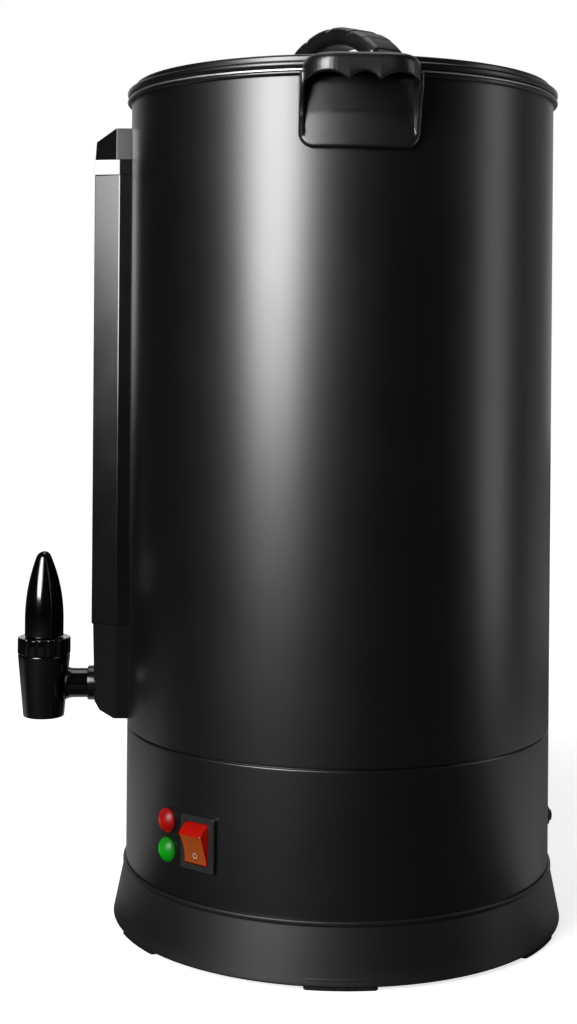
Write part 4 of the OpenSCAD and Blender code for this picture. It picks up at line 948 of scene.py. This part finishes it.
class Finish:
    """A material for one slot: patterns on Object coordinates, closed by a Principled shader."""

    def __init__(self, slot):
        self.material = bpy.data.materials.new(slot + "_finish")
        self.material.use_nodes = True
        self.tree = self.material.node_tree
        self.tree.nodes.clear()
        self.place = lay(self.tree, "TexCoord", out="Object")
        finishes[slot] = self.material

    def noise(self, scale, detail, stretch=(1.0, 1.0, 1.0)):
        """Cloudy pattern from 0 to 1, so many clouds to the metre, finer along an axis whose stretch is
        over 1."""
        spot = lay(self.tree, "Mapping", {"Vector": self.place, "Scale": stretch})
        inputs = {"Vector": spot, "Scale": scale, "Detail": detail}
        return lay(self.tree, "TexNoise", inputs)

    def cells(self, scale):
        """Distance to the nearest of scattered points, so many to the metre."""
        return lay(self.tree, "TexVoronoi", {"Vector": self.place, "Scale": scale})

    def ramp(self, wire, low, high):
        """A smooth step from 0 at low to 1 at high, where low may be the larger."""
        return lay(self.tree, "MapRange", {0: wire, 1: low, 2: high}, interpolation_type="SMOOTHSTEP")

    def tint(self, share, first, second):
        """A colour between two colours or wires."""
        pair = [c if isinstance(c, Wire) else (*c, 1.0) for c in (first, second)]
        return lay(self.tree, "Mix", {0: share, 6: pair[0], 7: pair[1]}, out=2, data_type="RGBA")

    def axis(self, letter):
        """One of the Object coordinates, in metres."""
        return lay(self.tree, "SeparateXYZ", {"Vector": self.place}, out=letter)

    def close(self, colour, rough, height=None, depth=0.0, **others):
        """Ends the network: colour and roughness, a bump of that depth in metres, and other sockets by
        name."""
        values = {"Base Color": colour, "Roughness": rough}
        if height is not None:
            values["Normal"] = lay(self.tree, "Bump", {"Height": height, "Distance": depth, "Strength": 1.0})
        values.update({name.replace("_", " "): value for name, value in others.items()})
        shader = lay(self.tree, "BsdfPrincipled", values)
        lay(self.tree, "OutputMaterial", {"Surface": shader})
        print(f"{self.material.name}: {len(self.tree.nodes)} nodes")


def clouded(slot, dark, light, clouds, rough, more, depth, bumps=None, **others):
    """A finish whose colour and roughness follow one noise: roughness is rough + more * noise. The bump
    follows the same noise, or another that bumps gives. A noise is given as scale, detail and, where it
    needs one, stretch."""
    kit = Finish(slot)
    cloud = kit.noise(*clouds)
    height = kit.noise(*bumps) if bumps else cloud
    kit.close(kit.tint(cloud, dark, light), rough + more * cloud, height if depth else None, depth, **others)


# %% [markdown]
# Paint and mouldings.
# The drum's paint is satin: a faint peel in the surface and slow clouds of gloss. The mouldings differ in
# grain: the skirt is matt and dusty near the floor, the handles have a spark-eroded grain, the gauge is
# smoother, the tap glossy. The outer ones mirror more than plain plastic does, as waxed or lacquered
# black does, so the lamps can stay moderate.

# %% Black finishes
LIVELY, DULL = 2.0, 1.7
paint_black = (0.0012, 0.0012, 0.0013), (0.0024, 0.0024, 0.0025)
gauge_black = (0.0010, 0.0010, 0.0011), (0.0020, 0.0020, 0.0021)
frame_black = (0.018, 0.019, 0.019), (0.028, 0.029, 0.029)
inner_black = (0.010, 0.010, 0.0105), (0.020, 0.020, 0.021)
clouded("black_paint", *paint_black, (16, 3), 0.30, 0.05, 0.000006, bumps=(1400, 2), IOR=LIVELY)
clouded("gauge_plastic", *gauge_black, (45, 4), 0.15, 0.05, 0.00001, bumps=(900, 3), IOR=LIVELY)
clouded("switch_plastic", *frame_black, (400, 3), 0.24, 0.12, 0.00001, IOR=LIVELY)
clouded("inner_plastic", *inner_black, (1200, 3), 0.38, 0.10, 0.00002)

skirt = Finish("skirt_plastic")
grain = skirt.noise(2600, 3)
dust = skirt.ramp(skirt.axis("Z") + 0.012 * skirt.noise(40, 4), 0.022, 0.006)
skirt.close(
    skirt.tint(dust * 0.35, (0.006, 0.006, 0.0062), (0.032, 0.031, 0.030)),
    0.40 + 0.08 * grain,
    grain,
    0.00003,
    IOR=DULL,
)

handle = Finish("handle_plastic")
pits = handle.cells(1500)
wear = handle.noise(60, 4)
handle.close(
    handle.tint(wear, (0.0035, 0.0035, 0.0037), (0.007, 0.007, 0.0073)),
    0.31 + 0.08 * wear,
    pits + 0.6 * handle.noise(3000, 2),
    0.000035,
    IOR=LIVELY,
)

tap = Finish("tap_plastic")
flow = tap.noise(60, 2)
tap.close(
    tap.tint(flow, (0.0008, 0.0008, 0.0009), (0.0018, 0.0018, 0.0019)),
    0.07 + 0.07 * tap.noise(90, 4),
    flow,
    0.00008,
    IOR=LIVELY,
)

# %% [markdown]
# Lit plastics.
# The rocker and the lamp lenses are clear coloured plastic with a small lamp behind. A true lamp inside
# would cost many samples, so the glow is in the finish: it is strongest near the lamp's place and falls
# off with distance.


# %% Lit finishes
def nearness(kit, centre, reach):
    """1 at a point of the urn and 0 at a distance of reach from it, both in metres."""
    gap = lay(kit.tree, "VectorMath", {0: kit.place, 1: tuple(centre)}, out="Value", operation="DISTANCE")
    return kit.ramp(gap, reach, 0.0)


ROCKER_GLOW, LAMP_GLOW = 0.016, 0.0095
rocker = Finish("rocker_red")
face = lay(rocker.tree, "Attribute", out="Fac", attribute_name="face")
low_face = on_rocker(np.array([rocker_front(-6.0)]), np.array([-7.5]), np.array([0.0]))[0] * MM
glow = nearness(rocker, low_face, ROCKER_GLOW)
swirl = rocker.noise(700, 3)
face_glow = rocker.tint(glow, (0.16, 0.028, 0.003), (0.11, 0.017, 0.001))
# Painted lamp glow: the hollow face takes an orange-brown base colour and an emission strongest near the
# lamp, while the round end stays red.
rocker.close(
    rocker.tint(face, (0.42, 0.006, 0.003), (0.22, 0.05, 0.010)),
    0.16 + 0.12 * swirl,
    swirl,
    0.000008,
    Emission_Color=rocker.tint(face, (0.11, 0.001, 0.0), face_glow),
    Emission_Strength=1.0,
    Coat_Weight=0.3,
)

for slot, node, body_colour, deep, lit in (
    ("lens_red", "red_lamp", (0.36, 0.002, 0.002), (0.02, 0.0, 0.0), (0.16, 0.0, 0.0)),
    ("lens_green", "green_lamp", (0.004, 0.20, 0.006), (0.0, 0.05, 0.0), (0.0, 0.22, 0.0)),
):
    lens = Finish(slot)
    lamp_spot = stand(np.array([2.0, 0.0, mid_z(node)]), LAMP_A, BODY_R) * MM
    lamp_glow = nearness(lens, lamp_spot, LAMP_GLOW)
    pips = lens.cells(900)
    lens.close(
        lens.tint(pips * 0.4, body_colour, tuple(c * 0.6 for c in body_colour)),
        0.34 + 0.10 * lens.noise(500, 3),
        pips,
        0.00004,
        Emission_Color=lens.tint(lamp_glow, deep, lit),
        Emission_Strength=1.0,
        Coat_Weight=0.04,
    )

# %% [markdown]
# Metals, glass and rubber.
# The tank is brushed, so its roughness runs in fine level streaks. The bottom plate has the spangle of
# zinc, screws and nuts are bright steel, and the spreader is duller aluminium. The tube is clear glass,
# and the seals are milky silicone. One noise is enough for most of them, because they hardly show.

# %% Metals, glass and rubber
for slot, dark, light, clouds, rough, depth in (
    ("tank_steel", (0.52, 0.52, 0.53), (0.66, 0.66, 0.66), (90, 4, (1, 1, 26)), 0.42, 0.00001),
    ("fastener_steel", (0.40, 0.40, 0.41), (0.62, 0.62, 0.63), (700, 4), 0.24, 0.00001),
    ("terminal_brass", (0.50, 0.34, 0.12), (0.72, 0.52, 0.22), (600, 4), 0.28, 0.00001),
    ("spreader_aluminium", (0.50, 0.51, 0.52), (0.70, 0.71, 0.72), (160, 4, (1, 12, 1)), 0.38, 0.00002),
):
    clouded(slot, dark, light, clouds, rough, 0.14, depth, Metallic=1.0)

clouded("pale_plastic", (0.62, 0.58, 0.49), (0.72, 0.69, 0.61), (220, 4), 0.40, 0.15, 0.00002)
clouded("silicone", (0.62, 0.60, 0.56), (0.72, 0.70, 0.66), (300, 3), 0.42, 0.12, 0.00002)
clear = (0.93, 0.96, 0.96), (0.98, 1.0, 1.0)
clouded("tube_glass", *clear, (120, 3), 0.01, 0.04, 0.0, Transmission_Weight=1.0, IOR=1.47)

zinc = Finish("plate_steel")
spangle = zinc.cells(85)
zinc_grey = zinc.tint(spangle, (0.36, 0.37, 0.39), (0.58, 0.59, 0.61))
zinc.close(zinc_grey, 0.30 + 0.20 * spangle, spangle, 0.00001, Metallic=1.0)

# %% [markdown]
# Finishes on the pieces.
# A new piece names its slot, and a solid that stays has a material with the slot's name. Assigning by
# hand would miss one sooner or later, so a loop gives each piece the finish of its slot.

# %% Give every piece its finish
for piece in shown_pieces():
    slots = piece.material_slots
    slot = piece.get("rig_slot") or slots[0].material.name
    if len(slots):
        slots[0].material = finishes[slot]
    else:
        piece.data.materials.append(finishes[slot])

# %% [markdown]
# The studio.
# The picture has a white ground, one tall soft light on the left and a dark room in front of the urn. A
# black object shows what it reflects, so the room matters more than the light's colour. The ground is
# white to the camera, through glass, and to mirrored rays that go on behind the urn, which draws the pale
# lines down both its edges. To mirrored rays the floor is white close behind the urn and far behind it,
# and dark in front.

# %% Room and floor
world = bpy.data.worlds.new("studio")
scene.world = world
world.use_nodes = True
room = world.node_tree
room.nodes.clear()
aim = lay(room, "TexCoord", out="Generated")
ahead = lay(room, "SeparateXYZ", {"Vector": aim}, out="X")
BACK_FROM, BACK_TO = -0.68, -1.08
behind = lay(room, "MapRange", {0: ahead, 1: BACK_FROM, 2: BACK_TO}, interpolation_type="SMOOTHSTEP")
seen = lay(room, "LightPath", out="Is Camera Ray").top(lay(room, "LightPath", out="Is Transmission Ray"))
white = seen.top(behind * lay(room, "LightPath", out="Is Glossy Ray"))
DARK, WHITE = (0.008, 0.008, 0.0085, 1), (1, 1, 1, 1)
sky = lay(room, "Mix", {0: white, 6: DARK, 7: WHITE}, out=2, data_type="RGBA")
ground = lay(room, "Background", {"Color": sky, "Strength": 1.0})
lay(room, "OutputWorld", {"Surface": ground})
print("the room has", len(room.nodes), "nodes")

FLOOR = 6.0
floor_mesh = bpy.data.meshes.new("floor")
corners = [(x, y, 0) for x, y in oblong(-FLOOR, -FLOOR, FLOOR, FLOOR)]
floor_mesh.from_pydata(corners, [], [(0, 1, 2, 3)])
floor = bpy.data.objects.new("floor", floor_mesh)
scene.collection.objects.link(floor)
floor_finish = Finish("floor")
floor_seen = lay(floor_finish.tree, "LightPath", out="Is Camera Ray")
away = lay(floor_finish.tree, "VectorMath", {0: floor_finish.place}, out="Value", operation="LENGTH")
FAR_SLANT, NEAR_SLANT = 1.1, 0.35
front = floor_finish.axis("X")
right = floor_finish.axis("Y").top(0.0)
bearing = (front - NEAR_SLANT * right) / away
close_by = floor_finish.ramp(bearing, 0.08, -0.35) * floor_finish.ramp(away, 1.0, 0.6)
mirrored = close_by.top(floor_finish.ramp(front - FAR_SLANT * right, -1.2, -1.6))
grey = floor_finish.tint(mirrored.top(floor_seen), (0.02, 0.02, 0.02), (0.85, 0.85, 0.85))
paper = floor_finish.tint(floor_finish.ramp(away, 0.3, 1.0), (0.74, 0.74, 0.74), (1.0, 1.0, 1.0))
floor_finish.close(
    grey,
    0.9,
    Emission_Color=floor_finish.tint(floor_seen, (0.0, 0.0, 0.0), paper),
    Emission_Strength=1.0,
)
floor_mesh.materials.append(finishes["floor"])

# %% [markdown]
# Lights.
# An area light is a soft box. Its place follows from the picture: a highlight on a round drum at an angle
# from the camera mirrors a light at twice that angle. The key light ends above the floor, so the
# highlight fades downwards.


# %% Soft boxes
def soft_box(name, turn, distance, height, width, tall, watts, aim_z, shape="RECTANGLE"):
    """A box at an angle of turn degrees round the urn from +X, that far out and that high, facing the
    axis."""
    data = bpy.data.lights.new(name, "AREA")
    data.shape = shape
    data.size, data.size_y, data.energy = width, tall, watts
    box = bpy.data.objects.new(name, data)
    scene.collection.objects.link(box)
    t = math.radians(turn)
    at = np.array([distance * math.cos(t), distance * math.sin(t), height])
    out = at - np.array([0, 0, aim_z])
    out /= np.linalg.norm(out)
    side = np.cross([0, 0, 1], out)
    side /= np.linalg.norm(side)
    place = np.vstack([np.column_stack([side, np.cross(out, side), out, at]), [0, 0, 0, 1]])
    box.matrix_world = Matrix(place.tolist())
    box.visible_camera = False
    print(f"{name}: {watts} W at {turn} degrees")


KEY_TURN, KEY_Z = -37.5, 0.91
soft_box("key", KEY_TURN, 1.5, KEY_Z, width=0.60, tall=1.10, watts=13.5, aim_z=KEY_Z)
soft_box("key_wings", KEY_TURN, 1.52, KEY_Z, width=1.12, tall=1.13, watts=11.2, aim_z=KEY_Z, shape="ELLIPSE")
soft_box("right_card", 80, 1.3, 0.55, width=0.38, tall=1.3, watts=1.7, aim_z=0.35)
soft_box("rear_card", 128, 1.3, 0.55, width=0.90, tall=1.3, watts=0.65, aim_z=0.35)
soft_box("overhead", 180, 0.5, 2.0, width=1.2, tall=1.2, watts=5, aim_z=0.5)

# %% [markdown]
# The camera.
# It stands level, a little towards the tap, at nearly two thirds of the urn's height. A level camera
# keeps the drum's sides upright; the frame is shifted down instead of tilting it, as an architect's lens
# does. A very slight roll follows the picture.

# %% Camera
DISTANCE, HEIGHT = 1.2, 0.398
TOWARDS_TAP = 4.3
FOCAL_PX, HORIZON_Y, AXIS_X = 1671.0, 353.0, 340.0
ROLL = 0.008
WIDE, TALL, SENSOR = 577, 1024, 36.0
lens_data = bpy.data.cameras.new("camera")
lens_data.sensor_width = SENSOR
lens_data.lens = FOCAL_PX * SENSOR / TALL
lens_data.shift_y = (HORIZON_Y - TALL / 2) / TALL
lens_data.clip_start = 0.05
camera = bpy.data.objects.new("camera", lens_data)
scene.collection.objects.link(camera)
turn = math.radians(-TOWARDS_TAP)
camera.location = (DISTANCE * math.cos(turn), DISTANCE * math.sin(turn), HEIGHT)
yaw = math.atan((AXIS_X - WIDE / 2) / FOCAL_PX)
camera.rotation_mode = "XYZ"
camera.rotation_euler = (math.pi / 2, 0.0, math.pi / 2 + turn + yaw)
camera.rotation_euler.rotate_axis("Z", ROLL)
scene.camera = camera
scene.view_settings.view_transform = "Standard"
print("camera at", [round(x, 4) for x in camera.location], "lens", round(lens_data.lens, 2))
